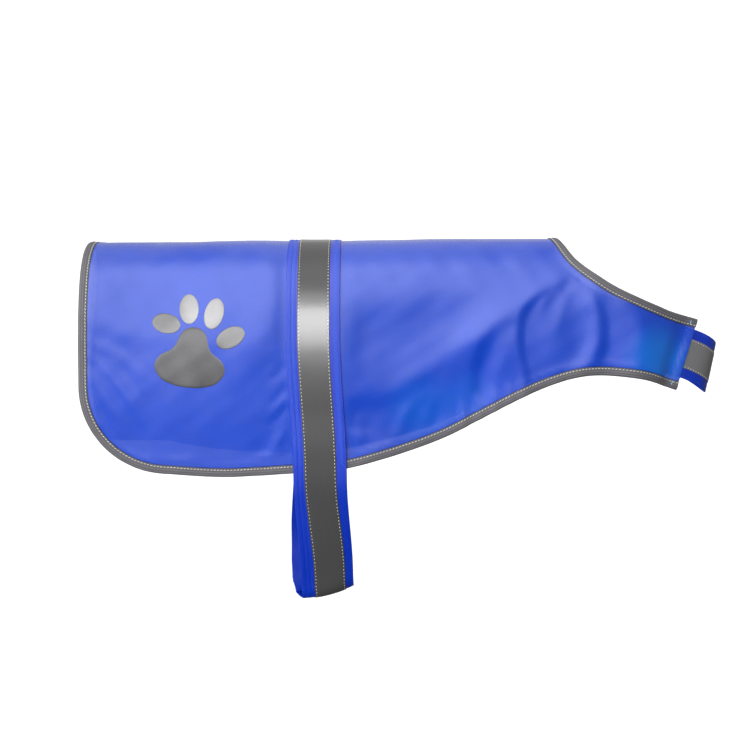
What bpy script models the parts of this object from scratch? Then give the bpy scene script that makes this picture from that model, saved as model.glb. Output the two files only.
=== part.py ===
"""Reflective dog vest, fastened and filled out as if worn, with no dog in it.

+X points to the dog's head, +Y to its left side and +Z up. The origin is on the inner
face of the cloth on the dog's back, under the belly band, where the dog holds the vest up.

Every place on the vest is found on one general figure, a long rounded barrel:
  x      the distance along the back, in millimetres,
  girth  the distance round the barrel from the middle of the back, in millimetres,
         below 0 on the dog's right side and above 0 on its left side,
  lift   the height over the inner face of the vest cloth, in millimetres.
"""
import math

import bpy
import bmesh
from mathutils import Vector, geometry

MM = 0.001                    # metres in a millimetre

# ---- Walls and gaps ----
CLOTH_WALL = 1.2              # the vest cloth, hemmed
GAP = 0.3                     # the air between two pieces that are sewn together
BINDING_WALL = 0.8
BINDING_WIDTH = 6.2           # how far the binding covers the cloth on each face
WEBBING_WALL = 1.2            # the belly band and the chest band
TAPE_WALL = 0.8               # the reflective tape
PAD_WALL = 0.9                # one half of a hook and loop fastener
PRINT_WALL = 0.6              # the reflective paw print
PRINT_GAP = 0.4

# ---- The figure ----
# Its section is a chain of arcs: how far the cloth's outward normal stands above the level
# at each distance round the girth.
FIGURE_TURN = (
    # girth, elevation in degrees
    (0, 90), (26, 74), (40, 60), (58, 43), (80, 18), (104, 5), (140, -1.5), (205, -8), (260, -10),
)
FIGURE_HALF_WIDTH = 69.6      # the barrel's widest half
CHEST_START = 170             # ahead of this the barrel narrows to the chest
CHEST_NARROWING = 0.00169     # half width lost for each square millimetre ahead of it
BACK_LINE = (
    # x, height of the back, which the band draws down a little
    (-196, -1.1), (-120, -0.3), (-50, 0.8), (0, 0), (60, 1.2), (110, 2.2), (330, 2.4),
)

# ---- The outline of the vest cloth ----
# The vest sits a little turned on the dog, so its left side hangs higher and further back.
REAR_X = -195.4
CORNER_RADIUS = 76            # the round rear corner of the right side
REAR_LEFT = (
    # x, girth: the rear edge of the left side, down to its corner
    (REAR_X, 0), (-197.5, 30), (-203, 80), (-207.5, 120), (-209, 150), (-207.5, 170),
    (-204.3, 188), (-200, 202), (-195.5, 210.5), (-186, 214.3), (-165, 215), (-140, 215.5),
)
LOWER_EDGE = (
    # x, girth on the right side, girth on the left side
    (REAR_X + CORNER_RADIUS, 239.7, 219), (-80, 242.1, 225.3), (-18, 238.5, 227.5),
    (27, 234.8, 223.5), (84, 219.4, 211), (137, 195.2, 190), (181, 173, 169.5),
    (227, 159.4, 156), (272, 161.5, 157), (307.8, 171, 165.5),
)
NECK_EDGE = (
    # x, girth on the right side, girth on the left side
    (206.5, 0, 0), (208.6, 34, 34), (220, 60.6, 60), (251, 85.4, 83.5),
    (294, 103.4, 100.2), (326.6, 113.2, 108.5),
)
CURVE_STEPS = 12              # points from row to row of a smooth curve
EDGE_STEP = 13.5              # the distance between two stations along an edge
GRID_STEP = 17                # the distance between two points inside a panel
GRID_ROWS = tuple(range(0, 101, 10)) + (112, 126, 140, 154, 168, 182, 196, 210, 222)

# ---- The largest folds, each a soft trough or ridge from one end to the other ----
FOLDS = (
    # start x, start girth, end x, end girth, half width, height (a trough is below 0)
    (40, -186, 200, -72, 24, -2.6),
    (66, -148, 208, -84, 20, 2.4),
    (98, -174, 205, -86, 15, -2.2),
    (168, -112, 178, -164, 13, -1.8),
    (228, -98, 232, -146, 18, 2.2),
    (-186, -140, -128, -216, 20, 2.0),
    (-166, -118, -100, -214, 18, -1.8),
    (-58, -92, -34, -214, 16, -1.6),
    (44, 176, 196, 80, 24, -2.4),
    (72, 206, 190, 110, 18, 2.0),
    (176, 108, 184, 160, 15, -1.8),
    (-184, 132, -118, 212, 22, 1.9),
    (-150, 96, -84, 208, 20, -1.9),
    (-60, 110, -36, 210, 16, -1.4),
)

# ---- The belly band, one strip right round the dog ----
BAND_WIDTH = 45
BAND_TAPE_WIDTH = 26
BAND_TAPE_SHIFT = 1           # the tape lies a little ahead of the middle
# It leans forward on the right side and turns back under the belly.
BAND_LEAN = (
    # girth, forward shift
    (-243, 4.8), (-120, -0.8), (340, -0.8),
)
LOOP_LEAN = (
    # girth past the bottom, forward shift, rise of its front edge for each millimetre across,
    # degrees turned
    (-120, 4.8, 0, 0), (-12, 9.6, 0.2, 8), (0, 10.3, 0.22, 12), (12, 3, 0.18, 12), (34, -0.8, 0, 0),
)
HEM_CLEAR_START = 200         # here the band starts to lift over the hem's binding
HEM_CLEAR_END = 226
HEM_CLEARANCE = 1.5
LOOP_START = 239              # below this the band hangs free of the cloth
LOOP_BEND = 20                # the girth in which it turns inwards
LOOP_SLOPE = 29.6             # degrees from upright
LOOP_FOLD_RADIUS = 8          # the fold under the belly
BAND_FAR_TIP = 320            # the end that hangs down on the left side
BAND_OVERLAP = 62             # how far the other end covers it
PAD_WIDTH = 38

# ---- The chest band, sewn under the right front end and fastened on the left one ----
CHEST_BAND_WIDTH = 42.5
CHEST_TAPE_WIDTH = 25
CHEST_SEAM = 20               # how far it reaches under the right front end
CHEST_OVERLAP = 46            # how far it reaches over the left front end
CHEST_LOOP_PAD = (4, 66)      # from and to, behind the end of the cloth
CHEST_HOOK_PAD = (10, 43)
CHEST_BAND_RAISE = 1.3        # how far it lies above the middle of the cloth's front end
CHEST_FRONT_X = 342           # the foremost place of its middle line
CHEST_FRONT_DROP = 109        # and how far that is below the back
CHEST_FRONT_TILT = 12.1       # degrees that its top edge leans forward there
CHEST_END_HANDLE = 23         # how far it runs on straight from the cloth's end
CHEST_FRONT_HANDLE = 16       # and how wide its round front is

# ---- The paw print, on the right side only ----
PAW_TURN = -7                 # degrees
PAW_TOE_SIDES = 16
PAW_PAD = (-103, -146.5)      # x and girth of its middle
PAW_PAD_HALF = (
    # half width, height over the middle
    (0, 29.5), (9.5, 25), (15.5, 11), (26, 3), (29.5, -6), (23.5, -15.5), (12, -20), (0, -21),
)
PAW_TOES = (
    # x, girth, half width, half height, degrees turned
    (-123.2, -113.6, 12.0, 8.4, -14),
    (-104.4, -101.5, 8.1, 12.8, 3),
    (-83.3, -106.3, 8.1, 13.2, -13),
    (-69.4, -126.6, 12.7, 8.4, 27),
)


# ======== The figure ========

def arc_chain(rows, girth):
    """Follow arcs whose normal turns evenly between the rows: (outwards, down, elevation)."""
    out = 0.0
    down = 0.0
    for (start, turn), (end, next_turn) in zip(rows, rows[1:]):
        length = min(girth, end) - start
        share = length / (end - start)
        stop_turn = turn + (next_turn - turn) * share
        half = math.radians(stop_turn - turn) / 2
        middle = math.radians(stop_turn + turn) / 2
        chord = length * (math.sin(half) / half if abs(half) > 1e-6 else 1.0)
        out += chord * math.sin(middle)
        down += chord * math.cos(middle)
        if girth <= end:
            return out, down, stop_turn
    return out, down, rows[-1][1]


def chest_share(x):
    """The barrel's half width at x, as a share of its widest."""
    ahead = max(0.0, x - CHEST_START)
    return 1 - CHEST_NARROWING * ahead * ahead / FIGURE_HALF_WIDTH


def between(rows, place):
    """Read a table at a place, eased from row to row."""
    for row, following in zip(rows, rows[1:]):
        if place <= following[0]:
            share = ease(row[0], following[0], place)
            return [value + (after - value) * share
                    for value, after in zip(row[1:], following[1:])]
    return list(rows[-1][1:])


def ease(start, end, value):
    share = min(1.0, max(0.0, (value - start) / (end - start)))
    return share * share * (3 - 2 * share)


def figure_point(x, girth):
    out, down, _ = arc_chain(FIGURE_TURN, abs(girth))
    height = between(BACK_LINE, x)[0]
    return Vector((x, math.copysign(out * chest_share(x), girth), height - down))


def figure_normal(x, girth):
    step = 0.5
    along = figure_point(x + step, girth) - figure_point(x - step, girth)
    around = figure_point(x, girth + step) - figure_point(x, girth - step)
    return along.cross(around).normalized()


def fold_height(x, girth):
    """The sum of the soft folds at a place."""
    height = 0.0
    place = Vector((x, girth))
    for start_x, start_girth, end_x, end_girth, half_width, depth in FOLDS:
        start = Vector((start_x, start_girth))
        run = Vector((end_x, end_girth)) - start
        along = (place - start).dot(run) / run.length_squared
        if 0 < along < 1:
            across = (place - start - run * along).length / half_width
            if across < 1:
                fade = math.sin(math.pi * along)
                height += depth * fade * (0.5 + 0.5 * math.cos(math.pi * across))
    return height


def cloth_point(x, girth, lift=0.0):
    """A place over the vest cloth."""
    return figure_point(x, girth) + figure_normal(x, girth) * (fold_height(x, girth) + lift)


# ======== Curves in the (x, girth) plane ========

def smooth_through(rows, steps=CURVE_STEPS):
    """A smooth curve through the rows, as a dense list of points (Catmull-Rom)."""
    points = [Vector(row) for row in rows]
    first = points[0] * 2 - points[1]
    last = points[-1] * 2 - points[-2]
    points = [first] + points + [last]
    curve = []
    for before, start, end, after in zip(points, points[1:], points[2:], points[3:]):
        for step in range(steps):
            t = step / steps
            curve.append(0.5 * ((2 * start) + (end - before) * t
                                + (2 * before - 5 * start + 4 * end - after) * t * t
                                + (3 * start - before - 3 * end + after) * t * t * t))
    curve.append(points[-2])
    return curve


def even_stations(curve, spacing):
    """Points spread evenly along a dense curve, both ends kept."""
    lengths = [0.0]
    for start, end in zip(curve, curve[1:]):
        lengths.append(lengths[-1] + (end - start).length)
    count = max(2, round(lengths[-1] / spacing))
    stations = []
    index = 0
    for number in range(count + 1):
        target = lengths[-1] * number / count
        while index < len(curve) - 2 and lengths[index + 1] < target:
            index += 1
        share = (target - lengths[index]) / (lengths[index + 1] - lengths[index])
        stations.append(curve[index].lerp(curve[index + 1], min(1.0, share)))
    return stations


def side_rows(table, side):
    """An edge's (x, girth) rows on the right side (-1) or the left side (1)."""
    return [(x, right if side < 0 else left) for x, right, left in table]


def rear_corner(lower):
    """The right side's rear edge and round corner, down to the start of the lower edge."""
    corner_girth = lower[0][1] - CORNER_RADIUS
    points = [Vector((REAR_X, 0)), Vector((REAR_X, corner_girth))]
    for step in range(1, 24):
        angle = math.pi / 2 * step / 24
        points.append(Vector((REAR_X + CORNER_RADIUS * (1 - math.cos(angle)),
                              corner_girth + CORNER_RADIUS * math.sin(angle))))
    return points


def half_hem(side):
    """One side of the bound lower edge, from the back's rear end to the front end."""
    lower = side_rows(LOWER_EDGE, side)
    if side < 0:
        curve = rear_corner(lower) + smooth_through(lower)
    else:
        curve = smooth_through(list(REAR_LEFT) + lower)
    stations = even_stations(curve, EDGE_STEP)
    return [Vector((point.x, point.y * side)) for point in stations]


def half_neck(side):
    """One side of the bound neck edge, from the back's front end to the front end."""
    rows = side_rows(NECK_EDGE, side)
    mirrored = (rows[1][0], -rows[1][1])
    curve = smooth_through([mirrored] + rows)
    stations = even_stations(curve[CURVE_STEPS:], EDGE_STEP * 0.8)
    return [Vector((point.x, point.y * side)) for point in stations]


def both_sides(half_edge):
    """A whole edge from the right front end over the back to the left front end."""
    return half_edge(-1)[::-1] + half_edge(1)[1:]


def end_corners(side):
    """The lower and upper corners of a side's straight front end."""
    ends = [side_rows(table, side)[-1] for table in (LOWER_EDGE, NECK_EDGE)]
    lower, upper = [Vector((x, girth * side)) for x, girth in ends]
    return lower, upper


def inset_line(edge, distance, inwards):
    """The line where the binding ends, one point for each point of the edge.

    inwards is 1 where the cloth lies to the left of the edge as it runs, and -1 to the right.
    Its two ends stay on the straight front ends of the cloth.
    """
    line = []
    for index, point in enumerate(edge):
        before = edge[max(index - 1, 0)]
        after = edge[min(index + 1, len(edge) - 1)]
        run = (after - before).normalized()
        line.append(point + Vector((-run.y, run.x)) * distance * inwards)
    for index, sign in ((0, -1), (-1, 1)):
        lower, upper = end_corners(sign)
        corner = edge[index]
        other = upper if (corner - lower).length < 1 else lower
        run = (edge[1] - edge[0] if index == 0 else edge[-1] - edge[-2]).normalized()
        end_line = (other - corner).normalized()
        line[index] = corner + end_line * distance / abs(run.cross(end_line))
    return line


def front_end(lower, upper):
    """Points along a straight front end of the cloth, between its two bindings."""
    return [lower.lerp(upper, step / 4) for step in range(5)]


HEM = both_sides(half_hem)
NECK = both_sides(half_neck)
HEM_INSET = inset_line(HEM, BINDING_WIDTH, -1)
NECK_INSET = inset_line(NECK, BINDING_WIDTH, 1)


# ======== Meshes ========

def finish(name, mesh_data, color, roughness, metallic=0.0):
    """Make the object, its faces outwards and round, with its own material."""
    mesh = bpy.data.meshes.new(name)
    mesh_data.to_mesh(mesh)
    mesh_data.free()
    mesh.shade_smooth()
    mesh.set_sharp_from_angle(angle=math.radians(35))
    part = bpy.data.objects.new(name, mesh)
    bpy.context.scene.collection.objects.link(part)
    material = bpy.data.materials.new(name)
    material.use_nodes = True
    shader = material.node_tree.nodes["Principled BSDF"]
    shader.inputs["Base Color"].default_value = (*color, 1)
    shader.inputs["Roughness"].default_value = roughness
    shader.inputs["Metallic"].default_value = metallic
    mesh.materials.append(material)
    return part


def add_points(mesh_data, points):
    return [mesh_data.verts.new(point * MM) for point in points]


def skin(name, outer, inner, triangles, rim, *finish_values):
    """A wall between two faces with the same triangles, closed along the rim's edges."""
    mesh_data = bmesh.new()
    top = add_points(mesh_data, outer)
    bottom = add_points(mesh_data, inner)
    for triangle in triangles:
        mesh_data.faces.new([top[i] for i in triangle])
        mesh_data.faces.new([bottom[i] for i in reversed(triangle)])
    for start, end in rim:
        mesh_data.faces.new((top[end], top[start], bottom[start], bottom[end]))
    bmesh.ops.recalc_face_normals(mesh_data, faces=mesh_data.faces[:])
    return finish(name, mesh_data, *finish_values)


def swept(name, sections, *finish_values):
    """A solid through closed sections with the same number of points, capped at both ends."""
    mesh_data = bmesh.new()
    rings = [add_points(mesh_data, section) for section in sections]
    count = len(rings[0])
    for ring, following in zip(rings, rings[1:]):
        for index in range(count):
            after = (index + 1) % count
            mesh_data.faces.new((ring[index], ring[after], following[after], following[index]))
    mesh_data.faces.new(list(reversed(rings[0])))
    mesh_data.faces.new(rings[-1])
    bmesh.ops.recalc_face_normals(mesh_data, faces=mesh_data.faces[:])
    return finish(name, mesh_data, *finish_values)


# ======== The vest cloth ========

def inside(point, outline):
    """Whether a point of the (x, girth) plane lies inside a closed outline."""
    hit = False
    for start, end in zip(outline, outline[1:] + outline[:1]):
        if (start.y > point.y) != (end.y > point.y):
            crossing = start.x + (point.y - start.y) / (end.y - start.y) * (end.x - start.x)
            if point.x < crossing:
                hit = not hit
    return hit


BAND_EDGES = (-BAND_WIDTH / 2, BAND_WIDTH / 2)
TAPE_EDGES = (BAND_TAPE_SHIFT - BAND_TAPE_WIDTH / 2, BAND_TAPE_SHIFT + BAND_TAPE_WIDTH / 2)
BAND_COLUMNS = (BAND_EDGES[0], TAPE_EDGES[0], TAPE_EDGES[1], BAND_EDGES[1])
PAD_EDGES = (-PAD_WIDTH / 2, PAD_WIDTH / 2)


def cut_panel():
    """Triangulate the vest cloth in the (x, girth) plane: (points, triangles, rim)."""
    outline = HEM[::-1] + front_end(HEM_INSET[0], NECK_INSET[0])
    outline += NECK + front_end(NECK_INSET[-1], HEM_INSET[-1])
    points = list(outline)
    edges = [(i, (i + 1) % len(outline)) for i in range(len(outline))]
    for line in (HEM_INSET, NECK_INSET):
        first = len(points)
        points += line
        edges += [(first + i, first + i + 1) for i in range(len(line) - 1)]
    covered = HEM_INSET[::-1] + NECK_INSET
    keep_clear = GRID_STEP * 0.45
    columns = [BAND_WIDTH / 2 + GRID_STEP * number for number in range(1, 19)]
    columns += [-column for column in columns]
    for row in sorted(set(GRID_ROWS) | {-row for row in GRID_ROWS}):
        shift = between(BAND_LEAN, row)[0]
        for x in columns + [shift + across for across in BAND_COLUMNS]:
            place = Vector((x, row))
            near_edge = min((place - other).length for other in covered)
            if near_edge > keep_clear and inside(place, covered):
                points.append(place)
    flat = [Vector((point.x, point.y)) for point in points]
    made, _, triangles, _, _, _ = geometry.delaunay_2d_cdt(
        flat, edges, [list(range(len(outline)))], 1, 1e-4)
    made = [Vector(point) for point in made]
    return made, [tuple(triangle) for triangle in triangles], open_edges(triangles)


def open_edges(triangles):
    """The directed edges that belong to one triangle only."""
    used = {(tri[i], tri[(i + 1) % 3]) for tri in triangles for i in range(3)}
    return sorted(edge for edge in used if (edge[1], edge[0]) not in used)


def vest_cloth():
    points, triangles, rim = cut_panel()
    outer = [cloth_point(point.x, point.y, CLOTH_WALL) for point in points]
    inner = [cloth_point(point.x, point.y) for point in points]
    return skin("main_panel", outer, inner, triangles, rim, (0.045, 0.09, 0.66), 0.55)


# ======== The bindings ========

def binding(name, edge, inset):
    """A strip folded round an edge of the cloth, over both of its faces."""
    low = -GAP
    high = CLOTH_WALL + GAP
    sections = []
    for rim, leg in zip(edge, inset):
        outwards = (cloth_point(*rim) - cloth_point(*leg)).normalized()
        section = []
        for lift, beyond in ((high + BINDING_WALL, GAP + BINDING_WALL),
                             (low - BINDING_WALL, GAP + BINDING_WALL)):
            section.append(cloth_point(*rim, lift) + outwards * beyond)
        section.append(cloth_point(*leg, low - BINDING_WALL))
        section.append(cloth_point(*leg, low))
        section.append(cloth_point(*rim, low) + outwards * GAP)
        section.append(cloth_point(*rim, high) + outwards * GAP)
        section.append(cloth_point(*leg, high))
        section.append(cloth_point(*leg, high + BINDING_WALL))
        sections.append(section)
    return swept(name, sections, (0.16, 0.16, 0.165), 0.6)


# ======== The belly band ========

def loop_turn():
    """The band's own section: the figure down to the hem, then the free loop to its fold."""
    rows = [row for row in FIGURE_TURN if row[0] < LOOP_START]
    out, _, turn = arc_chain(FIGURE_TURN, LOOP_START)
    rows.append((LOOP_START, turn))
    bend_end = LOOP_START + LOOP_BEND
    rows.append((bend_end, -LOOP_SLOPE))
    out = arc_chain(rows, bend_end)[0]
    slope = math.radians(LOOP_SLOPE)
    straight = (out - LOOP_FOLD_RADIUS * math.cos(slope)) / math.sin(slope)
    rows.append((bend_end + straight, -LOOP_SLOPE))
    fold = LOOP_FOLD_RADIUS * (math.pi / 2 - slope)
    rows.append((bend_end + straight + fold, -90))
    return rows


BAND_TURN = loop_turn()
BAND_BOTTOM = BAND_TURN[-1][0]
PAD_STACK = GAP + PAD_WALL + GAP + PAD_WALL + GAP
BAND_NEAR_TIP = 2 * BAND_BOTTOM - BAND_FAR_TIP + BAND_OVERLAP


def band_lift(girth):
    """The inner face of the band over the figure: up over the hem, then over the far end."""
    base = CLOTH_WALL + GAP
    lift = base + HEM_CLEARANCE * ease(HEM_CLEAR_START, HEM_CLEAR_END, abs(girth))
    if girth < 0:
        fold = BAND_BOTTOM - BAND_TURN[-2][0]
        start = BAND_BOTTOM - fold
        lift += (WEBBING_WALL + PAD_STACK) * ease(start, BAND_BOTTOM + fold, -girth)
    return lift


def band_point(girth, across, lift):
    """A place over the belly band's inner face, across from its middle line."""
    height = band_lift(girth) + lift
    shift = between(BAND_LEAN, girth)[0]
    if abs(girth) <= LOOP_START:
        return cloth_point(shift + across, girth, height)
    rise = turned_by = 0
    if girth < 0:
        shift, rise, turned_by = between(LOOP_LEAN, -girth - BAND_BOTTOM)
    side = math.copysign(1, girth)
    along = abs(girth)
    if along > BAND_BOTTOM:
        along = 2 * BAND_BOTTOM - along
        side = -side
    out, down, turn = arc_chain(BAND_TURN, along)
    turn = math.radians(turn)
    out += height * math.cos(turn)
    down -= height * math.sin(turn)
    turned_by = math.radians(turned_by)
    return Vector((shift + across * math.cos(turned_by),
                   side * out + across * math.sin(turned_by), rise * across - down))


def band_stations(start, end):
    """The girths at which the band is built, the same ones as the cloth's rows."""
    rows = set(GRID_ROWS) | {232, LOOP_START, LOOP_START + LOOP_BEND / 2}
    bend_end, fold_start = BAND_TURN[-3][0], BAND_TURN[-2][0]
    for step in range(7):
        rows.add(bend_end + (fold_start - bend_end) * step / 6)
    for step in range(1, 6):
        rows.add(fold_start + (BAND_BOTTOM - fold_start) * step / 5)
    rows |= {2 * BAND_BOTTOM - row for row in rows}
    rows |= {-row for row in rows}
    inner = [row for row in sorted(rows) if start + 2 < row < end - 2]
    return [start] + inner + [end]


def strip(name, point_at, stations, columns, low, high, *finish_values):
    """A flat strip with square edges, between two heights over its carrier."""
    outer = [point_at(station, across, high) for station in stations for across in columns]
    inner = [point_at(station, across, low) for station in stations for across in columns]
    width = len(columns)
    triangles = []
    for row in range(len(stations) - 1):
        for column in range(width - 1):
            corner = row * width + column
            triangles.append((corner, corner + 1, corner + width + 1))
            triangles.append((corner, corner + width + 1, corner + width))
    return skin(name, outer, inner, triangles, open_edges(triangles), *finish_values)


def belly_band():
    blue = (0.03, 0.065, 0.6)
    grey = (0.34, 0.34, 0.35)
    dark = (0.02, 0.04, 0.3)
    stations = band_stations(-BAND_NEAR_TIP, BAND_FAR_TIP)
    strip("belly_band", band_point, stations, BAND_COLUMNS, 0, WEBBING_WALL, blue, 0.6)
    low = WEBBING_WALL + GAP
    stations = band_stations(-BAND_NEAR_TIP + 3, HEM_CLEAR_END)
    strip("belly_tape", band_point, stations, TAPE_EDGES,
          low, low + TAPE_WALL, grey, 0.35, 0.3)
    overlap = 2 * BAND_BOTTOM - BAND_NEAR_TIP
    stations = band_stations(overlap + 2, BAND_FAR_TIP - 2)
    strip("belly_loop", band_point, stations, PAD_EDGES,
          low, low + PAD_WALL, dark, 0.9)
    stations = band_stations(-BAND_NEAR_TIP + 4, -(2 * BAND_BOTTOM - BAND_FAR_TIP) - 4)
    strip("belly_hook", band_point, stations, PAD_EDGES,
          -GAP - PAD_WALL, -GAP, dark, 0.8)


# ======== The chest band ========

def chest_end(side):
    """The middle of the cloth's front end and the unit step up along it, in (x, girth)."""
    lower, upper = end_corners(side)
    upwards = (upper - lower).normalized()
    return (lower + upper) / 2 + upwards * CHEST_BAND_RAISE, upwards


def wing_point(side, back, across, lift):
    """A place on the cloth behind its front end, across from the band's middle line."""
    middle, upwards = chest_end(side)
    backwards = Vector((-upwards.y, upwards.x)) * -side
    place = middle + backwards * back + upwards * across
    return cloth_point(place.x, place.y, lift)


def bridge_frame(side, share):
    """The band between a front end and the foremost place: (middle, step up, outward normal).

    share is 0 at the cloth's end and 1 at the foremost place.
    """
    end = wing_point(side, 0, 0, 0)
    end_run = (end - wing_point(side, 1, 0, 0)).normalized()
    end_up = (wing_point(side, 0, 1, 0) - end).normalized()
    front = Vector((CHEST_FRONT_X, 0, -CHEST_FRONT_DROP))
    tilt = math.radians(CHEST_FRONT_TILT)
    front_up = Vector((math.sin(tilt), 0, math.cos(tilt)))
    handles = (end, end + end_run * CHEST_END_HANDLE,
               front + Vector((0, side * CHEST_FRONT_HANDLE, 0)), front)
    rest = 1 - share
    weights = (rest ** 3, 3 * rest * rest * share, 3 * rest * share * share, share ** 3)
    middle = sum((handle * weight for handle, weight in zip(handles, weights)), Vector())
    run = ((handles[1] - handles[0]) * rest * rest + (handles[2] - handles[1]) * 2 * rest * share
           + (handles[3] - handles[2]) * share * share).normalized()
    up = end_up.lerp(front_up, ease(0, 1, share)).normalized()
    return middle, up, up.cross(run).normalized() * side


CHEST_STEPS = 6               # stations from the cloth's end to the foremost place
CHEST_LOW = -GAP - WEBBING_WALL
CHEST_HIGH = CLOTH_WALL + PAD_STACK


def chest_point(station, across, lift):
    """A place over the chest band's inner face.

    station is below 0 under the right front end, runs from 0 to 2 over the open front, and
    goes on past 2 over the left front end; the parts beyond 0 and 2 are in millimetres.
    """
    height = CHEST_LOW + (CHEST_HIGH - CHEST_LOW) * ease(0.1, 1.9, station) + lift
    if station <= 0:
        return wing_point(-1, -station, across, height)
    if station >= 2:
        return wing_point(1, station - 2, across, height)
    side = -1 if station < 1 else 1
    middle, up, normal = bridge_frame(side, min(station, 2 - station))
    return middle + up * across + normal * height


def even_columns(width):
    """Places across the chest band, close enough to follow the cloth's curve."""
    return [width * (step / 4 - 0.5) for step in range(5)]


def chest_stations(back, over):
    """From back behind the right front end to over behind the left one."""
    behind = [-back * step / 2 for step in (2, 1)] if back > 0 else []
    bridge = [number / CHEST_STEPS for number in range(2 * CHEST_STEPS + 1)]
    ahead = [2 + over * step / 4 for step in (1, 2, 3, 4)]
    return behind + bridge + ahead


def chest_band():
    blue = (0.03, 0.065, 0.6)
    grey = (0.34, 0.34, 0.35)
    dark = (0.02, 0.04, 0.3)
    strip("chest_band", chest_point, chest_stations(CHEST_SEAM, CHEST_OVERLAP),
          even_columns(CHEST_BAND_WIDTH), 0, WEBBING_WALL, blue, 0.6)
    stations = chest_stations(0, CHEST_OVERLAP - 3)
    stations[0] = 0.02
    low = WEBBING_WALL + GAP
    strip("chest_tape", chest_point, stations, even_columns(CHEST_TAPE_WIDTH),
          low, low + TAPE_WALL, grey, 0.35, 0.3)
    for name, (start, end), low in (("chest_loop", CHEST_LOOP_PAD, CLOTH_WALL + GAP),
                                    ("chest_hook", CHEST_HOOK_PAD, CHEST_HIGH - GAP - PAD_WALL)):
        steps = [start + (end - start) * step / 4 for step in range(5)]
        strip(name, lambda back, across, lift: wing_point(1, back, across, lift), steps,
              even_columns(PAD_WIDTH), low, low + PAD_WALL, dark, 0.85)


# ======== The paw print ========

def round_print(name, middle, outline, rings):
    """A thin patch on the right side, its outline given round its middle."""
    sides = len(outline)
    places = [middle]
    for ring in range(1, rings + 1):
        places += [middle + offset * (ring / rings) for offset in outline]
    triangles = [(0, 1 + number, 1 + (number + 1) % sides) for number in range(sides)]
    for ring in range(1, rings):
        near = 1 + (ring - 1) * sides
        far = near + sides
        for number in range(sides):
            after = (number + 1) % sides
            triangles.append((near + number, far + number, far + after))
            triangles.append((near + number, far + after, near + after))
    low = CLOTH_WALL + PRINT_GAP
    outer = [cloth_point(place.x, place.y, low + PRINT_WALL) for place in places]
    inner = [cloth_point(place.x, place.y, low) for place in places]
    return skin(name, outer, inner, triangles, open_edges(triangles), (0.3, 0.3, 0.31), 0.4, 0.3)


def turned(x, up, degrees):
    angle = math.radians(degrees)
    return Vector((x * math.cos(angle) - up * math.sin(angle),
                   x * math.sin(angle) + up * math.cos(angle)))


def pad_outline():
    """A smooth closed curve through the pad's half outline and its mirror image."""
    right = [Vector(row) for row in PAW_PAD_HALF]
    left = [Vector((-row.x, row.y)) for row in right[-2:0:-1]]
    loop = right + left
    wrapped = loop[-1:] + loop + loop[:2]
    curve = smooth_through(wrapped, 2)[2:-2]
    return [turned(point.x, point.y, PAW_TURN) for point in curve[:-1]]


def paw_print():
    round_print("paw_pad", Vector(PAW_PAD), pad_outline(), 2)
    for number, (x, girth, half_width, half_height, degrees) in enumerate(PAW_TOES, 1):
        outline = []
        for side in range(PAW_TOE_SIDES):
            angle = 2 * math.pi * side / PAW_TOE_SIDES
            outline.append(turned(half_width * math.cos(angle), half_height * math.sin(angle),
                                  degrees))
        round_print(f"paw_toe_{number}", Vector((x, girth)), outline, 2)


def main():
    for old in list(bpy.data.objects):
        bpy.data.objects.remove(old, do_unlink=True)
    vest_cloth()
    binding("hem_binding", HEM, HEM_INSET)
    binding("neck_binding", NECK, NECK_INSET)
    belly_band()
    chest_band()
    paw_print()


main()
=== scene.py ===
"""Looks of the reflective dog vest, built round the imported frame.

The vest is filled out as if worn. Every place on it is found on one general figure:
  x      the distance along the back, in millimetres,
  girth  the distance round the barrel from the middle of the back, in millimetres,
         below 0 on the dog's right side and above 0 on its left side,
  lift   the height over the inner face of the vest cloth, in millimetres.
"""
import math

import bmesh
import bpy
import numpy as np
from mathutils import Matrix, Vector, geometry


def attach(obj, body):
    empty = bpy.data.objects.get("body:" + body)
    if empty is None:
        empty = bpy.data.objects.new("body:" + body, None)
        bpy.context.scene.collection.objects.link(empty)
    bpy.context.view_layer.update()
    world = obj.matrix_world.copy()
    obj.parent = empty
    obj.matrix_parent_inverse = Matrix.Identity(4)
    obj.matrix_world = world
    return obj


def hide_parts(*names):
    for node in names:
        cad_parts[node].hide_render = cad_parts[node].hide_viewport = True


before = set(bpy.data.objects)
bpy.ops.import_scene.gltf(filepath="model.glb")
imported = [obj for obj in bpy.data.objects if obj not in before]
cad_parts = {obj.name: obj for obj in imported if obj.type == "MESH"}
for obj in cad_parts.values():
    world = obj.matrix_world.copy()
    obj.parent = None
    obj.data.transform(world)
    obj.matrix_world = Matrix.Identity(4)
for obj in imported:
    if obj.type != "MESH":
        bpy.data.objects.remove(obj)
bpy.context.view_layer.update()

MM = 0.001                    # metres in a millimetre

# ---- Heights of the layers, in millimetres over the inner face of the CAD cloth ----
CLOTH_LOW = 0.7               # the cloth's two faces
CLOTH_TOP = 1.2
BINDING_WIDTH = 6.2           # how far the binding covers the cloth
BAND_LOW = 1.3                # the belly band's under face, on the cloth
BAND_THICK = 1.1
TAPE_THICK = 0.45
PAD_THICK = 0.9
PAD_GAP = 0.2                 # between a pad and what it is sewn on
PRINT_THICK = 0.22
PRINT_CLEAR = 0.02            # the film starts this far over the cloth,
PRINT_SINK = 0.1              # and its underside lies this deep in it
THREAD_SINK = 0.12            # how far a stitch's middle lies under the face it is sewn on

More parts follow.
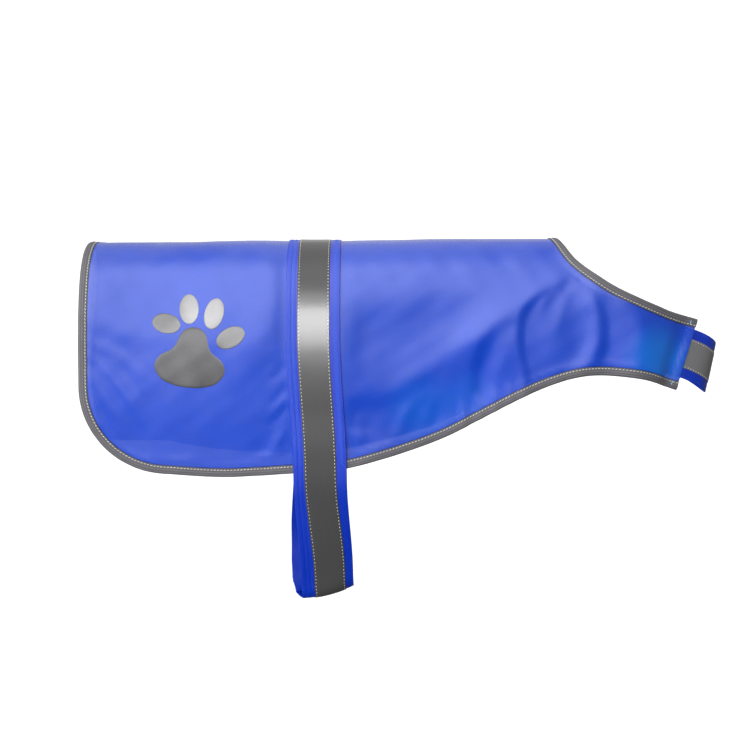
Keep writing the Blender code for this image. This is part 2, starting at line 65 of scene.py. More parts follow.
# ---- The figure ----
FIGURE_TURN = (
    # girth, elevation of the outward normal in degrees
    (0, 90), (26, 74), (40, 60), (58, 43), (80, 18), (104, 5), (140, -1.5), (205, -8), (260, -10),
)
FIGURE_HALF_WIDTH = 69.6      # at its widest
CHEST_START = 170             # where it begins to narrow towards the chest
CHEST_NARROWING = 0.00169     # lost from the half width for each square millimetre further ahead
FIGURE_END = 300              # the last girth of the figure
GIRTH_STEP = 0.25
BACK_LINE = (
    # x, height of the back
    (-196, -1.1), (-120, -0.3), (-50, 0.8), (0, 0), (60, 1.2), (110, 2.2), (330, 2.4),
)

# ---- The outline of the vest cloth ----
# The vest sits a little turned on the dog, so its left side hangs higher and further back.
REAR_X = -195.4
CORNER_RADIUS = 74            # the round rear corner of the right side
CORNER_POINTS = 40
REAR_LEFT = (
    # x, girth: the rear edge of the left side, down to its corner
    (REAR_X, 0), (-197.5, 30), (-203, 80), (-207.5, 120), (-209, 150), (-207.5, 170),
    (-204.3, 188), (-200, 202), (-195.5, 210.5), (-186, 214.3), (-165, 215), (-140, 215.5),
)
LOWER_EDGE = (
    # x, girth on the right side, girth on the left side
    (REAR_X + CORNER_RADIUS, 239.3, 219), (-80, 242.6, 225.3), (-50, 242, 227.2), (-18, 239.4, 227.5),
    (27, 235.4, 223.5), (84, 221.3, 211), (112, 211.1, 202), (137, 197.8, 190), (181, 174.8, 169.5),
    (227, 160, 156), (272, 161.5, 157), (308.6, 171.3, 165.5),
)
NECK_EDGE = (
    # x, girth on the right side, girth on the left side
    (208, 0, 0), (210.8, 34, 34), (222.8, 60.6, 60), (251.6, 84.6, 83.6),
    (294, 103.3, 100.2), (326.6, 112.6, 108.5),
)
CLOTH_STEP = 3.0              # the distance between two points of the cloth
EDGE_ROOM = 0.55              # how near the edge a point inside it may lie, in steps
PLACES_AT_ONCE = 4000         # measured together, to spare memory
CURVE_STEPS = 12              # points for each row of an edge's table

# ---- How far the cloth ahead of the belly band hangs inside the general figure ----
DRAPE_GIRTHS = (30, 45, 60, 70, 85, 100, 115, 130, 145, 160, 175, 190, 205, 220, 240)
DRAPE = (
    # x: depth at each of these girths; the last depth holds from there down
    (24, (0,)),
    (40, (0, 0, 0, 0, 0.5, 2.3, 4.0, 4.6, 3.9, 3.1, 3.2, 4.0, 3.1, 0.8, -1.2)),
    (60, (0, 0, 0, 0, 0.9, 3.2, 5.4, 6.5, 5.7, 4.7, 4.9, 6.2, 5.5, 3.1, 1.0)),
    (97, (0, 0, 0.2, 0.5, 2.5, 5.5, 7.4, 7.5, 6.9, 7.3, 8.2, 9.2, 9.6, 9.4, 8.8)),
    (120, (0, 0.3, 0.9, 1.6, 3.7, 6.4, 6.8, 5.2, 5.6, 7.4, 8.8, 9.4, 9.6, 9.4, 9.0)),
    (140, (0, 0.6, 1.6, 2.5, 4.0, 5.5, 4.3, 3.0, 5.1, 7.2, 8.2, 8.6, 8.7, 8.5)),
    (160, (0, 0.9, 2.4, 3.6, 4.5, 3.8, 2.4, 3.4, 4.8, 6.0, 6.6, 6.7)),
    (180, (0, 1.2, 3.2, 4.3, 4.2, 3.8, 4.5, 4.8, 5.0, 5.1)),
    (190, (0, 1.3, 3.5, 4.5, 4.5, 5.0, 6.1, 6.6, 6.8)),
    (200, (0, 1.4, 3.7, 4.5, 4.6, 5.7, 6.9, 7.3, 7.5)),
    (222, (0, 0.8, 2.2, 3.0, 4.2, 6.0, 7.2, 7.7, 7.6, 7.2)),
    (238, (0, 0, 0.2, 0.7, 1.6, 2.7, 3.8, 4.3, 4.7, 4.9)),
    (245, (0, 0, 0, 0.3, 1.2, 3.3, 4.8, 5.3, 5.6, 5.7)),
    (258, (0, 0, 0, 0.1, 0.3, 0.6, 1.2, 1.5, 1.7, 1.8)),
    (274, (0, 0, 0, 0, -0.3, -1.3, -2.1, -2.5, -2.6)),
    (290, (0, 0, 0, 0, -0.1, -0.5, -0.8, -0.8, -0.7, -0.6)),
    (306, (0, 0, 0, 0.1, 0.4, 0.9, 1.5, 2.0, 2.4, 2.6)),
    (330, (0,)),
)
DRAPE_SOFTNESS = 11           # over how many millimetres it is smoothed, each time
FAR_DRAPE = 0.75              # the left side hangs in less,
FAR_DRAPE_SHIFT = -9          # and a little further back

# ---- Folds of the cloth: each is a ridge, or a trough where its heights are below 0 ----
# Widths are on its left and right as one walks along it, seen from the dog's right side.
NEAR_FOLDS = (
    # points (x, girth), half widths, heights at its start, middle and end
    (((24, 178), (45, 175), (70, 169), (95, 157)), (16, 13), (0.3, 0.5, 0.5)),
    (((86, 160), (106, 149), (124, 136), (141, 122), (159, 108), (180, 95), (206, 80)),
     (18, 16), (0.3, 1.0, 0.6)),
    (((214, 82), (200, 89), (187, 98), (179, 108), (176, 122), (177, 140), (181, 156), (183, 172)),
     (26, 7), (-1.0, -2.2, -1.3)),
    (((160, 120), (148, 134), (142, 152), (140, 172), (137, 190)), (15, 12), (-0.6, -2.3, -1.0)),
    (((205, 84), (192, 98), (187, 114)), (6, 6), (0.4, 0.6, 0)),
    (((220, 84), (210, 98), (205, 116), (201, 136)), (8, 7), (0.3, 0.5, 0)),
    (((220, 84), (233, 98), (239, 115), (239, 133), (233, 147), (222, 158)), (10, 12), (0.7, 1.7, 1.1)),
    (((262, 94), (274, 112), (280, 130), (280, 158)), (18, 22), (0.2, 0.5, 0.3)),
    (((317, 118), (308.5, 140), (301, 164)), (8, 13), (-1.6, -2.6, -2.6)),
    (((86, 180), (77, 192), (70, 207)), (11, 9), (0.2, 1.0, 0.7)),
    (((44, 186), (38, 200), (36, 216)), (9, 8), (0, 0.6, 0.5)),
    (((112, 176), (104, 190), (101, 204)), (10, 9), (0, -0.7, -0.5)),
    (((122, 176), (126, 203)), (5, 5), (0, 0.9, 1.3)),
    (((134, 172), (140, 197)), (4.5, 5), (0, 1.0, 1.4)),
    (((148, 166), (152, 190)), (5, 4), (0, 0.8, 1.2)),
    (((161, 164), (165, 184)), (4, 4), (0, 0.7, 1.0)),
    (((171, 160), (176, 179)), (4, 4), (0, 0.5, 0.8)),
    (((-193, 107), (-172, 113), (-150, 124), (-122, 132)), (14, 14), (0.4, 0.6, 0)),
    (((-191, 127), (-170, 136), (-148, 152), (-128, 174)), (7, 8), (0.25, 0.35, 0)),
    (((-189, 136), (-168, 160), (-151, 184), (-136, 208)), (5, 5), (0.25, 0.32, 0)),
    (((-188, 155), (-172, 181), (-154, 203)), (6, 7), (0.3, 0.36, 0)),
    (((-189, 176), (-178, 196), (-162, 214)), (7, 7), (0.2, 0.25, 0)),
    (((-164, 142), (-150, 164), (-141, 182)), (6, 6), (0, -0.3, 0)),
    (((-136, 52), (-134, 88), (-138, 128)), (72, 58), (-3.0, -4.6, -1.8)),
    (((-152, 223), (-128, 230), (-100, 232), (-70, 231)), (3.5, 4), (-0.2, -0.5, -0.2)),
    (((-150, 226), (-124, 229), (-96, 230), (-66, 229)), (9, 7), (0.2, 0.6, 0)),
    (((-40, 66), (-41, 102), (-45, 130), (-55, 154), (-72, 180)), (26, 32), (1.0, 2.3, 0)),
    (((-24, 150), (-32, 159), (-42, 167)), (4, 5), (-0.7, -0.5, 0)),
    (((-24, 169), (-32, 178), (-42, 186)), (4, 5), (-0.8, -0.6, 0)),
    (((-24, 186), (-32, 196), (-41, 204)), (4, 5), (-0.8, -0.6, 0)),
    (((-24, 178), (-33, 188), (-44, 196)), (5, 4), (0.5, 0.4, 0)),
    (((-25, 205), (-31, 214), (-36, 228)), (6, 7), (0.5, 1.0, 0.3)),
    (((-27, 222), (-40, 226), (-54, 230)), (5, 5), (0.7, 0.7, 0)),
    (((27, 207), (38, 209), (52, 211)), (8, 10), (0.5, 0.6, 0.1)),
)
FAR_FOLDS = (
    # the same columns, on the left side
    (((76, 162), (98, 150), (124, 132), (152, 108), (192, 82)), (17, 16), (0.3, 1.0, 0.5)),
    (((210, 84), (190, 94), (176, 112), (172, 136), (176, 164)), (16, 8), (-1.0, -2.0, -1.2)),
    (((216, 86), (229, 102), (234, 124), (226, 148)), (11, 12), (0.8, 1.8, 1.0)),
    (((260, 94), (273, 112), (276, 150)), (16, 16), (0.5, 1.8, 0.8)),
    (((150, 124), (140, 146), (136, 182)), (14, 12), (-0.4, -2.0, -0.8)),
    (((92, 170), (82, 188), (76, 206)), (10, 10), (0.2, 0.9, 0.6)),
    (((-200, 108), (-170, 118), (-134, 128)), (13, 14), (0.5, 0.8, 0)),
    (((-200, 130), (-172, 146), (-144, 172)), (7, 7), (0.3, 0.55, 0)),
    (((-200, 152), (-176, 176), (-152, 200)), (6, 7), (0.4, 0.5, 0)),
    (((-42, 66), (-46, 104), (-58, 136), (-84, 166)), (28, 30), (0.9, 2.5, 0)),
    (((-24, 156), (-34, 166), (-46, 174)), (5, 5), (-0.7, -0.5, 0)),
    (((-24, 180), (-34, 190), (-44, 198)), (5, 5), (-0.8, -0.5, 0)),
    (((26, 172), (36, 184), (48, 192)), (6, 6), (-0.7, -0.6, 0)),
    (((128, 172), (130, 190)), (4, 4), (0, 0.5, 0.9)),
    (((154, 164), (157, 180)), (4, 4), (0, 0.5, 0.8)),
)
FOLD_STEPS = 5                # points for each point of a fold's path
EDGE_PUFF = (
    # distance from the edge, how far the cloth puffs up beside the tight binding
    (0, 0), (5.8, 0), (7.8, 0.55), (14, 0),
)
PUFF_BESIDE_BAND = (0, 8)     # it grows from none to full this far beside the belly band
FOLDS_BESIDE_BAND = (-6, 10)  # and so do the folds
BAND_PRESS = 0.5              # how far the belly band presses the cloth in
BAND_PRESS_REACH = 14         # how far beside it the cloth is pressed
BAND_PRESS_FROM = (20, 70)    # the girths between which the press sets in
BAND_PRESS_TO = (236, 190)    # and those between which it fades out again
RIPPLES = (
    # height, turn for each millimetre of x and of girth, start: very small waves
    (0.16, 0.113, 0.021, 0.4), (0.13, -0.047, 0.083, 1.9), (0.10, 0.171, -0.094, 4.2),
    (0.07, 0.263, 0.139, 2.7), (0.05, -0.211, 0.307, 5.5),
)
RIPPLE_FROM = (0, 60)         # the girths between which they set in

# ---- The belly band ----
BAND_WIDTH = 45
BAND_GROOVES = (-18.1, -14.2, 21.4)   # sewn lines, across from its middle line
BAND_TAPE_WIDTH = 27
BAND_TAPE_DRIFT = (
    # girth, how far the tape lies ahead of the band's middle line
    (-345, 2.2), (-225, 0.2), (240, 0.2),
)
BAND_LEAN = (
    # girth, forward shift
    (-243, 4.8), (-120, -0.8), (340, -0.8),
)
LOOP_LEAN = (
    # girth past the bottom, forward shift, rise for each millimetre across, degrees turned
    (-120, 4.8, 0, 0), (-12, 9.6, 0.2, 8), (0, 10.3, 0.22, 12), (8, 2.6, 0.18, 12), (16, 0.2, 0.12, 9),
    (34, -0.8, 0, 0), (70, -1.8, 0, 0), (118, -0.8, 0, 0),
)
HEM_CLEAR_START = 184         # between these girths the band rises to pass over the hem
HEM_CLEAR_END = 226
HEM_CLEARANCE = 1.5
LOOP_START = 239              # the girth where the band leaves the figure for its loop
LOOP_BEND = 20                # the length over which it turns inwards,
LOOP_SLOPE = 29.6             # to so many degrees,
LOOP_FOLD_RADIUS = 8          # and the fold where its two sides meet
LOOP_STEP = 0.05
LOOP_SAG = 2.4                # how far the loop's middle hangs below its edges,
LOOP_SAG_REACH = 30           # fading out this far from the bottom
BAND_FAR_TIP = 320            # the girth where the fastener's overlap starts,
BAND_OVERLAP = 62             # and its length, up to the near end's tip
BAND_FAR_END = 354            # the far end runs on under the near one, into the fold
PAD_WIDTH = 38
PAD_STACK = 2.7               # the two pads and the gaps beside them
SOFT_END = 2                  # how far short of the overlap's ends the soft pad,
HOOKS_END = 4                 # the hooks
TAPE_END = 3                  # and the reflective tape stop,
ROW_END = 2                   # and a sewn row short of the end of what it sews
UNDER_GAP = 0.3               # how far under a band, or the cloth's inner face, a piece is sewn

# ---- The chest band ----
CHEST_BAND_WIDTH = 43.6
CHEST_TAPE_WIDTH = 26.2
CHEST_SEAM = 20               # how far it is sewn under the right front end
CHEST_OVERLAP = 46            # how far it lies over the left front end
CHEST_LOOP_PAD = (4, 66, 26)  # from and to behind the left front end, and its sections
CHEST_HOOK_PAD = (10, 43, 15)
CHEST_BAND_RAISE = 1.3        # how far its middle lies over the front ends' middle
CHEST_FRONT_X = 342           # its foremost place,
CHEST_FRONT_DROP = 109        # how far below the back that is,
CHEST_FRONT_TILT = 12.1       # and how far it leans forward there, in degrees
CHEST_END_HANDLE = 23         # the reach of its curve's handles at the front ends,
CHEST_FRONT_HANDLE = 16       # and at its foremost place
CHEST_LEFT = 2                # the station at the left front end; the right one is at 0
CHEST_BRIDGE_POINTS = 57
CHEST_RISE = (0.1, 1.9)       # between these stations it climbs from under to over
CHEST_TAPE_START = 0.01       # just past the right front end

# ---- The paw print ----
PAW_TURN = -7                 # of the pad, in degrees
PAW_PAD = (-103, -146.5)      # its middle
PAW_STEPS = 8                 # points for each row of its half
PAW_PAD_HALF = (
    # half width, height over the middle
    (0, 29.5), (9.5, 25), (15.5, 11), (26, 3), (29.5, -6), (23.5, -15.5), (12, -20), (0, -21),
)
PAW_TOES = (
    # x, girth, half width, half height, degrees turned
    (-123.2, -113.6, 12.0, 8.4, -14),
    (-104.4, -101.5, 8.1, 12.8, 3),
    (-83.3, -106.3, 8.1, 13.2, -13),
    (-69.4, -126.6, 12.7, 8.4, 27),
)
TOE_POINTS = 72
PRINT_RINGS = (
    # share of the way out, share of the film's thickness that is lost there
    (0.12, 0), (0.25, 0), (0.38, 0), (0.5, 0), (0.62, 0), (0.74, 0), (0.85, 0), (0.94, 0),
    (0.98, 0.25), (1.0, 0.7),
)

# ---- The section of a strip ----
STRIP_STEP = 2.5              # the distance between two sections
STRIP_POINTS = 1.6            # about the distance between two points across it
STRIP_SIDE = 0.9              # where the flat of its top begins, in from its sides
STRIP_EDGE = 0.4              # the width of its rounded edge
STRIP_ROUND = (
    # distance in from the side, share of the thickness
    (0, 0.45), (0.12, 0.78), (STRIP_EDGE, 0.97),
)
STRIP_UNDER = 0.3             # how far in from the sides its underside starts
TAPE_ROW_INSET = 1.3          # of a tape's sewn lines, from its sides
CHEST_ROW_INSET = 1.9         # and of the chest band's
GROOVE_DEPTH = 0.16           # of a sewn line
GROOVE_WIDTH = 0.55
GROOVE_REACH = 0.8            # the distance from it to the points beside it

# ---- Finishes ----
CLOTH_BLUES = (0.001, 0.032, 0.32), (0.003, 0.050, 0.475)
CLOTH_SHADE_TEAL = (0.0, 0.150, 0.58)       # a cooler tint painted on a few patches, standing in for the cloth in shade
CLOTH_PAINTED_SHADOW = (0.0, 0.006, 0.08)       # painted shadow in the groove beside the bindings
EDGE_SHADOW_REACH = (0.0073, 0.0065)          # how far from the edge it fades and is full, in metres
EDGE_SHADOW_STRENGTH = 0.85
SHADE_TEAL_PLACES = (
    # x, girth, how far it fades out, in metres, its strength
    (0.290, 0.144, 0.036, 0.72), (0.090, 0.188, 0.040, 0.24), (0.128, 0.178, 0.030, 0.16),
)
SHADE_TEAL_FULL = 0.004                     # how near its middle a patch is full, in metres
CLOTH_SPECULAR = (0.45, 1.25)         # uneven, as a woven sheen is
CLOTH_CLEAR = 0.024                   # the share of what is behind that the cloth lets through
BINDING_GREYS = (0.050, 0.048, 0.056), (0.125, 0.122, 0.134)
BAND_BLUES = (0.0, 0.018, 0.33), (0.001, 0.031, 0.42)
PRINT_PAINTED_HIGHLIGHT = (-0.093, -0.100, 0)     # the middle of a highlight painted on the print's toes, in metres
PAINTED_HIGHLIGHT_FADE = (0.028, 0.012)           # how far from there it fades and is full, in metres
PAINTED_HIGHLIGHT_GREYS = (0.17, 0.17, 0.175), (0.27, 0.27, 0.278)
FILMS = (
    # name, darkest and lightest grey, roughness, specular level, middle of a painted highlight
    ("reflective_tape", (0.047, 0.047, 0.048), (0.057, 0.057, 0.059), 0.215, 0.22, None),
    # a lighter copy of the belly tape's film, painted lighter for the light that the chest band reflects
    ("chest_reflective_tape_painted_lighter", (0.10, 0.10, 0.103), (0.18, 0.18, 0.185), 0.3, 0.22, None),
    ("reflective_print_pad", (0.010, 0.010, 0.011), (0.062, 0.061, 0.066), 0.40, 0.145, None),
    # a lighter copy of the pad's film, painted lighter where the light falls on the toes, with a painted
    # highlight
    ("reflective_print_toes_painted_lighter", (0.035, 0.035, 0.037), (0.105, 0.105, 0.109), 0.36, 0.185, PRINT_PAINTED_HIGHLIGHT),
)
FASTENERS = (
    # name, colour, pitch of its fuzz in metres
    ("soft_pad_blue", (0.012, 0.065, 0.72), 0.0007), ("hook_pad_blue", (0.012, 0.07, 0.75), 0.0012),
)
THREADS = (
    # name, colour
    ("cream_thread", (0.66, 0.63, 0.53)), ("blue_thread", (0.012, 0.10, 0.60)),
    ("tack_thread", (0.22, 0.48, 0.72)),
)

# ---- Sewing ----
STITCH_PITCH = 3.0
LOOP_PITCH = 3.5              # of the tape's stitches on the loop
STITCH = (1.2, 0.68, 0.45)    # length, width and height, as in the other sizes below
EDGE_PITCH = 2.8              # of the bindings' slanted stitches
EDGE_STITCH = (2.0, 0.62, 0.42)
EDGE_SLANT = 22
EDGE_ROW_INSET = 1.2          # how far they lie from the binding's inner edge
EDGE_FACES = ((1.88, 1), (-0.36, -1))     # height and way outwards of the binding's two faces
OVERLOCK_PITCH = 2.7          # of the stitches that sew the belly band to the cloth
OVERLOCK_SLANT = 50
OVERLOCK_END = 233            # the girth where they end, on both sides
OVERLOCK = (
    # across, length of each stitch
    (-20.0, 4.4), (-16.2, 3.6), (18.6, 5.4),
)
OVERLOCK_SIZE = (0.8, 0.5)    # width and height of each
CHEST_STITCH = (1.2, 0.5, 0.4)
FRONT_ROW = (7.0, 3.0)        # the stitches behind the cloth's front ends, right and left
FRONT_ROW_LIFT = 0.05         # over the cloth
TACK = (5.6, 0.8, 0.5)
TACK_STEP = 4.4               # it lies between one and two such steps from the binding's end
TACK_LIFT = 2.2
STITCH_RINGS = (
    # place along a stitch, share of its thickness
    (-0.42, 0.62), (-0.22, 0.95), (0.22, 0.95), (0.42, 0.62),
)
STITCH_SIDES = 6
ROW_POINTS = 2000             # a row's length is measured on so many points


# ======== The figure ========

GIRTHS = np.arange(0, FIGURE_END + GIRTH_STEP / 2, GIRTH_STEP)
ELEVATIONS = np.radians(np.interp(GIRTHS, *zip(*FIGURE_TURN)))


def running_sum(values, step):
    """The sum so far of values that lie a step apart."""
    middles = (values[1:] + values[:-1]) / 2
    return np.concatenate([[0], np.cumsum(middles * step)])


OUTS = running_sum(np.sin(ELEVATIONS), GIRTH_STEP)
DOWNS = running_sum(np.cos(ELEVATIONS), GIRTH_STEP)


def ease(start, end, value):
    """0 at start and 1 at end, eased between them."""
    share = np.clip((value - start) / (end - start), 0, 1)
    return share * share * (3 - 2 * share)


def eased(rows, place, column=1):
    """Read one column of a table at many places, eased from row to row."""
    rows = np.array(rows, float)
    place = np.clip(place, rows[0, 0], rows[-1, 0])
    index = np.clip(np.searchsorted(rows[:, 0], place) - 1, 0, len(rows) - 2)
    share = ease(rows[index, 0], rows[index + 1, 0], place)
    return rows[index, column] * (1 - share) + rows[index + 1, column] * share


def unit(vectors):
    return vectors / np.linalg.norm(vectors, axis=-1, keepdims=True)


def figure(x, girth):
    """Places on the general figure, in millimetres of the frame."""
    x, girth = np.broadcast_arrays(np.asarray(x, float), np.asarray(girth, float))
    ahead = np.maximum(0, x - CHEST_START)
    narrowing = 1 - CHEST_NARROWING * ahead * ahead / FIGURE_HALF_WIDTH
    out = np.interp(np.abs(girth), GIRTHS, OUTS) * narrowing
    down = np.interp(np.abs(girth), GIRTHS, DOWNS)
    return np.stack([x, np.sign(girth) * out, eased(BACK_LINE, x) - down], -1)


def normal(x, girth):
    """The way outwards from the figure."""
    step = 0.5
    along = figure(x + step, girth) - figure(x - step, girth)
    around = figure(x, girth + step) - figure(x, girth - step)
    return unit(np.cross(along, around))


# ======== Curves in the (x, girth) plane ========

def smooth_through(rows, steps=CURVE_STEPS):
    """A smooth curve through the rows (Catmull-Rom), as an array of points."""
    points = np.array(rows, float)
    points = np.vstack([2 * points[0] - points[1], points, 2 * points[-1] - points[-2]])
    t = (np.arange(steps) / steps)[:, None]
    curve = []
    for before, start, end, after in zip(points, points[1:], points[2:], points[3:]):
        curve.append(0.5 * (2 * start + (end - before) * t
                            + (2 * before - 5 * start + 4 * end - after) * t ** 2
                            + (3 * start - before - 3 * end + after) * t ** 3))
    return np.vstack(curve + [points[-2:-1]])


def lengths_along(curve):
    return np.concatenate([[0], np.cumsum(np.linalg.norm(np.diff(curve, axis=0), axis=1))])


def even_stations(curve, spacing):
    """Points spread evenly along a curve, both ends kept."""
    lengths = lengths_along(curve)
    places = np.linspace(0, lengths[-1], max(2, round(lengths[-1] / spacing)) + 1)
    return np.stack([np.interp(places, lengths, column) for column in curve.T], -1)


def side_rows(table, side):
    """One side's (x, girth) rows of an edge's table."""
    return [(x, right if side < 0 else left) for x, right, left in table]


def half_hem(side):
    lower = side_rows(LOWER_EDGE, side)
    if side > 0:
        return smooth_through(list(REAR_LEFT) + lower)
    corner_girth = lower[0][1] - CORNER_RADIUS
    angles = np.linspace(0, math.pi / 2, CORNER_POINTS)[:-1]
    corner = np.stack([REAR_X + CORNER_RADIUS * (1 - np.cos(angles)),
                       corner_girth + CORNER_RADIUS * np.sin(angles)], -1)
    return np.vstack([[(REAR_X, 0)], corner, smooth_through(lower)]) * (1, side)


def half_neck(side):
    """One side of the neck edge; the mirrored row only sets how it starts on the back."""
    rows = side_rows(NECK_EDGE, side)
    curve = smooth_through([(rows[1][0], -rows[1][1])] + rows)[CURVE_STEPS:]
    return curve * (1, side)


def both_sides(half_edge):
    """A whole edge from the right front end over the back to the left front end."""
    return even_stations(np.vstack([half_edge(-1)[::-1], half_edge(1)[1:]]), CLOTH_STEP)


def end_corners(side):
    """The lower and the upper corner of one front end."""
    return [np.array(side_rows(table, side)[-1]) * (1, side) for table in (LOWER_EDGE, NECK_EDGE)]


def end_ways(side):
    """The way up one front end, and the way back from it."""
    lower, upper = end_corners(side)
    upwards = unit(upper - lower)
    return upwards, np.array((-upwards[1], upwards[0])) * -side


def inset_line(edge, distance, inwards):
    """The line at a distance inside an edge; its ends stay on the straight front ends."""
    runs = unit(np.gradient(edge, axis=0))
    line = edge + np.stack([-runs[:, 1], runs[:, 0]], -1) * distance * inwards
    for index, sign in ((0, -1), (-1, 1)):
        lower, upper = end_corners(sign)
        corner = edge[index]
        other = upper if np.linalg.norm(corner - lower) < 1 else lower
        end_line = unit(other - corner)
        across = abs(runs[index, 0] * end_line[1] - runs[index, 1] * end_line[0])
        line[index] = corner + end_line * distance / across
    return line


HEM = both_sides(half_hem)
NECK = both_sides(half_neck)
HEM_INWARDS, NECK_INWARDS = -1, 1     # the side of each edge that the cloth lies on
BOUND_EDGES = ((HEM, HEM_INWARDS), (NECK, NECK_INWARDS))


# ======== The cloth's folds ========

def to_path(place, path):
    """For many places: (signed distance to a path, share of its length)."""
    start = path[:-1][None]
    run = np.diff(path, axis=0)[None]
    offset = place[:, None] - start
    share = np.clip((offset * run).sum(-1) / (run ** 2).sum(-1), 0, 1)
    gap = offset - run * share[..., None]
    distance = np.linalg.norm(gap, axis=-1)
    best = distance.argmin(1)
    rows = np.arange(len(place))
    step = run[0, best]
    turn = step[:, 0] * offset[rows, best, 1] - step[:, 1] * offset[rows, best, 0]
    along = (best + share[rows, best]) / run.shape[1]
    return distance[rows, best] * np.sign(turn), along


def bell(share):
    """1 at a share of 0, easing down to 0 at a share of 1."""
    return 0.5 + 0.5 * np.cos(math.pi * np.clip(share, 0, 1))


def one_fold(place, points, widths, heights):
    path = smooth_through(points, FOLD_STEPS)
    reach = max(widths)
    low, high = path.min(0) - reach, path.max(0) + reach
    height = np.zeros(len(place))
    near = ((place > low) & (place < high)).all(1)
    if near.any():
        distance, along = to_path(place[near], path)
        width = np.where(distance < 0, widths[0], widths[1])
        tall = eased([(0, heights[0]), (0.5, heights[1]), (1, heights[2])], along)
        height[near] = bell(np.abs(distance) / width) * tall
    return height


def ripple(x, girth):
    """Very small waves that keep the cloth from looking machined."""
    return sum(tall * np.sin(a * x + b * girth + start) for tall, a, b, start in RIPPLES)


def softened(values):
    """Rows smoothed by a running mean, used twice."""
    weights = np.ones(DRAPE_SOFTNESS) / DRAPE_SOFTNESS
    pad = DRAPE_SOFTNESS // 2
    for _ in range(2):
        wide = np.pad(values, ((0, 0), (pad, pad)), mode="edge")
        values = np.stack([np.convolve(row, weights, mode="valid") for row in wide])
    return values


def drape_map():
    """The drape at every whole millimetre of x and girth."""
    xs = np.array([x for x, _ in DRAPE], float)
    girths = np.arange(DRAPE_GIRTHS[0], DRAPE_GIRTHS[-1] + 1)
    rows = np.stack([np.interp(girths, DRAPE_GIRTHS[:len(depths)], depths) for _, depths in DRAPE])
    whole = np.arange(xs[0], xs[-1] + 1)
    grid = np.stack([np.interp(whole, xs, column) for column in rows.T], 1)
    return softened(softened(grid).T).T


DRAPE_MAP = drape_map()


def drape(x, girth):
    """How far the cloth hangs inside the general figure, at arrays of places."""
    far = girth > 0
    column = np.where(far, x - FAR_DRAPE_SHIFT, x) - DRAPE[0][0]
    row = np.abs(girth) - DRAPE_GIRTHS[0]
    inside_map = (column > 0) & (row > 0)
    last_column, last_row = np.array(DRAPE_MAP.shape) - 1.001     # so that the next one exists
    column = np.clip(column, 0, last_column)
    row = np.clip(row, 0, last_row)
    i, j = column.astype(int), row.astype(int)
    u, v = column - i, row - j
    depth = ((DRAPE_MAP[i, j] * (1 - u) + DRAPE_MAP[i + 1, j] * u) * (1 - v)
             + (DRAPE_MAP[i, j + 1] * (1 - u) + DRAPE_MAP[i + 1, j + 1] * u) * v)
    return np.where(inside_map, depth * np.where(far, FAR_DRAPE, 1), 0)


def beside_band(x, girth):
    """How far places lie beside the belly band; below 0 they are under it."""
    return np.abs(x - eased(BAND_LEAN, girth)) - BAND_WIDTH / 2


def fold_height(x, girth):
    """How far the folds lift the cloth, at arrays of places."""
    shape = np.broadcast(x, girth).shape
    flat_x = np.broadcast_to(x, shape).ravel().astype(float)
    flat_girth = np.broadcast_to(girth, shape).ravel().astype(float)
    around = np.abs(flat_girth)
    place = np.stack([flat_x, around], -1)
    height = np.zeros(len(place))
    for right_side, folds in ((True, NEAR_FOLDS), (False, FAR_FOLDS)):
        mine = (flat_girth < 0) == right_side
        for points, widths, heights in folds:
            height[mine] += one_fold(place[mine], points, widths, heights)
    height -= drape(flat_x, flat_girth)
    aside = beside_band(flat_x, flat_girth)
    height *= ease(*FOLDS_BESIDE_BAND, aside)
    press = bell(aside / BAND_PRESS_REACH)
    flank = ease(*BAND_PRESS_FROM, around) * ease(*BAND_PRESS_TO, around)
    height -= BAND_PRESS * press * flank
    height += ripple(flat_x, flat_girth) * ease(*RIPPLE_FROM, around) * (1 - press)
    return height.reshape(shape)


def laid(x, girth):
    """The folded cloth's inner face and the way outwards."""
    outwards = normal(x, girth)
    return figure(x, girth) + outwards * fold_height(x, girth)[..., None], outwards


def cloth(x, girth, lift):
    """Places at a lift over the folded cloth's inner face."""
    base, outwards = laid(x, girth)
    return base + outwards * np.asarray(lift, float)[..., None]


# ======== Meshes ========

def add_uv(mesh, name, values):
    """A layer that gives every corner the two values of its point, in metres."""
    corners = np.zeros(len(mesh.loops), np.int32)
    mesh.loops.foreach_get("vertex_index", corners)
    layer = mesh.uv_layers.new(name=name)
    layer.uv.foreach_set("vector", (np.asarray(values)[corners] * MM).astype(np.float32).ravel())


def in_scene(name, data):
    made = bpy.data.objects.new(name, data)
    bpy.context.scene.collection.objects.link(made)
    return made


def make_piece(name, points, faces, material, uv=None, sharp=50):
    """A piece from points in millimetres; uv gives each point its place on the cloth."""
    mesh = bpy.data.meshes.new(name)
    mesh.from_pydata((np.asarray(points) * MM).tolist(), [], [list(map(int, f)) for f in faces])
    if uv is not None:
        add_uv(mesh, "cloth", uv)
    mesh.validate()
    mesh.update()
    mesh.shade_smooth()
    mesh.set_sharp_from_angle(angle=math.radians(sharp))
    mesh.materials.append(material)
    return in_scene(name, mesh)


def ring_faces(rings, sides, first=0):
    """Quads between rings of points that follow each other from a first index."""
    faces = []
    for ring in range(rings - 1):
        for i in range(sides):
            a = first + ring * sides + i
            b = first + ring * sides + (i + 1) % sides
            faces.append((a, b, b + sides, a + sides))
    return faces


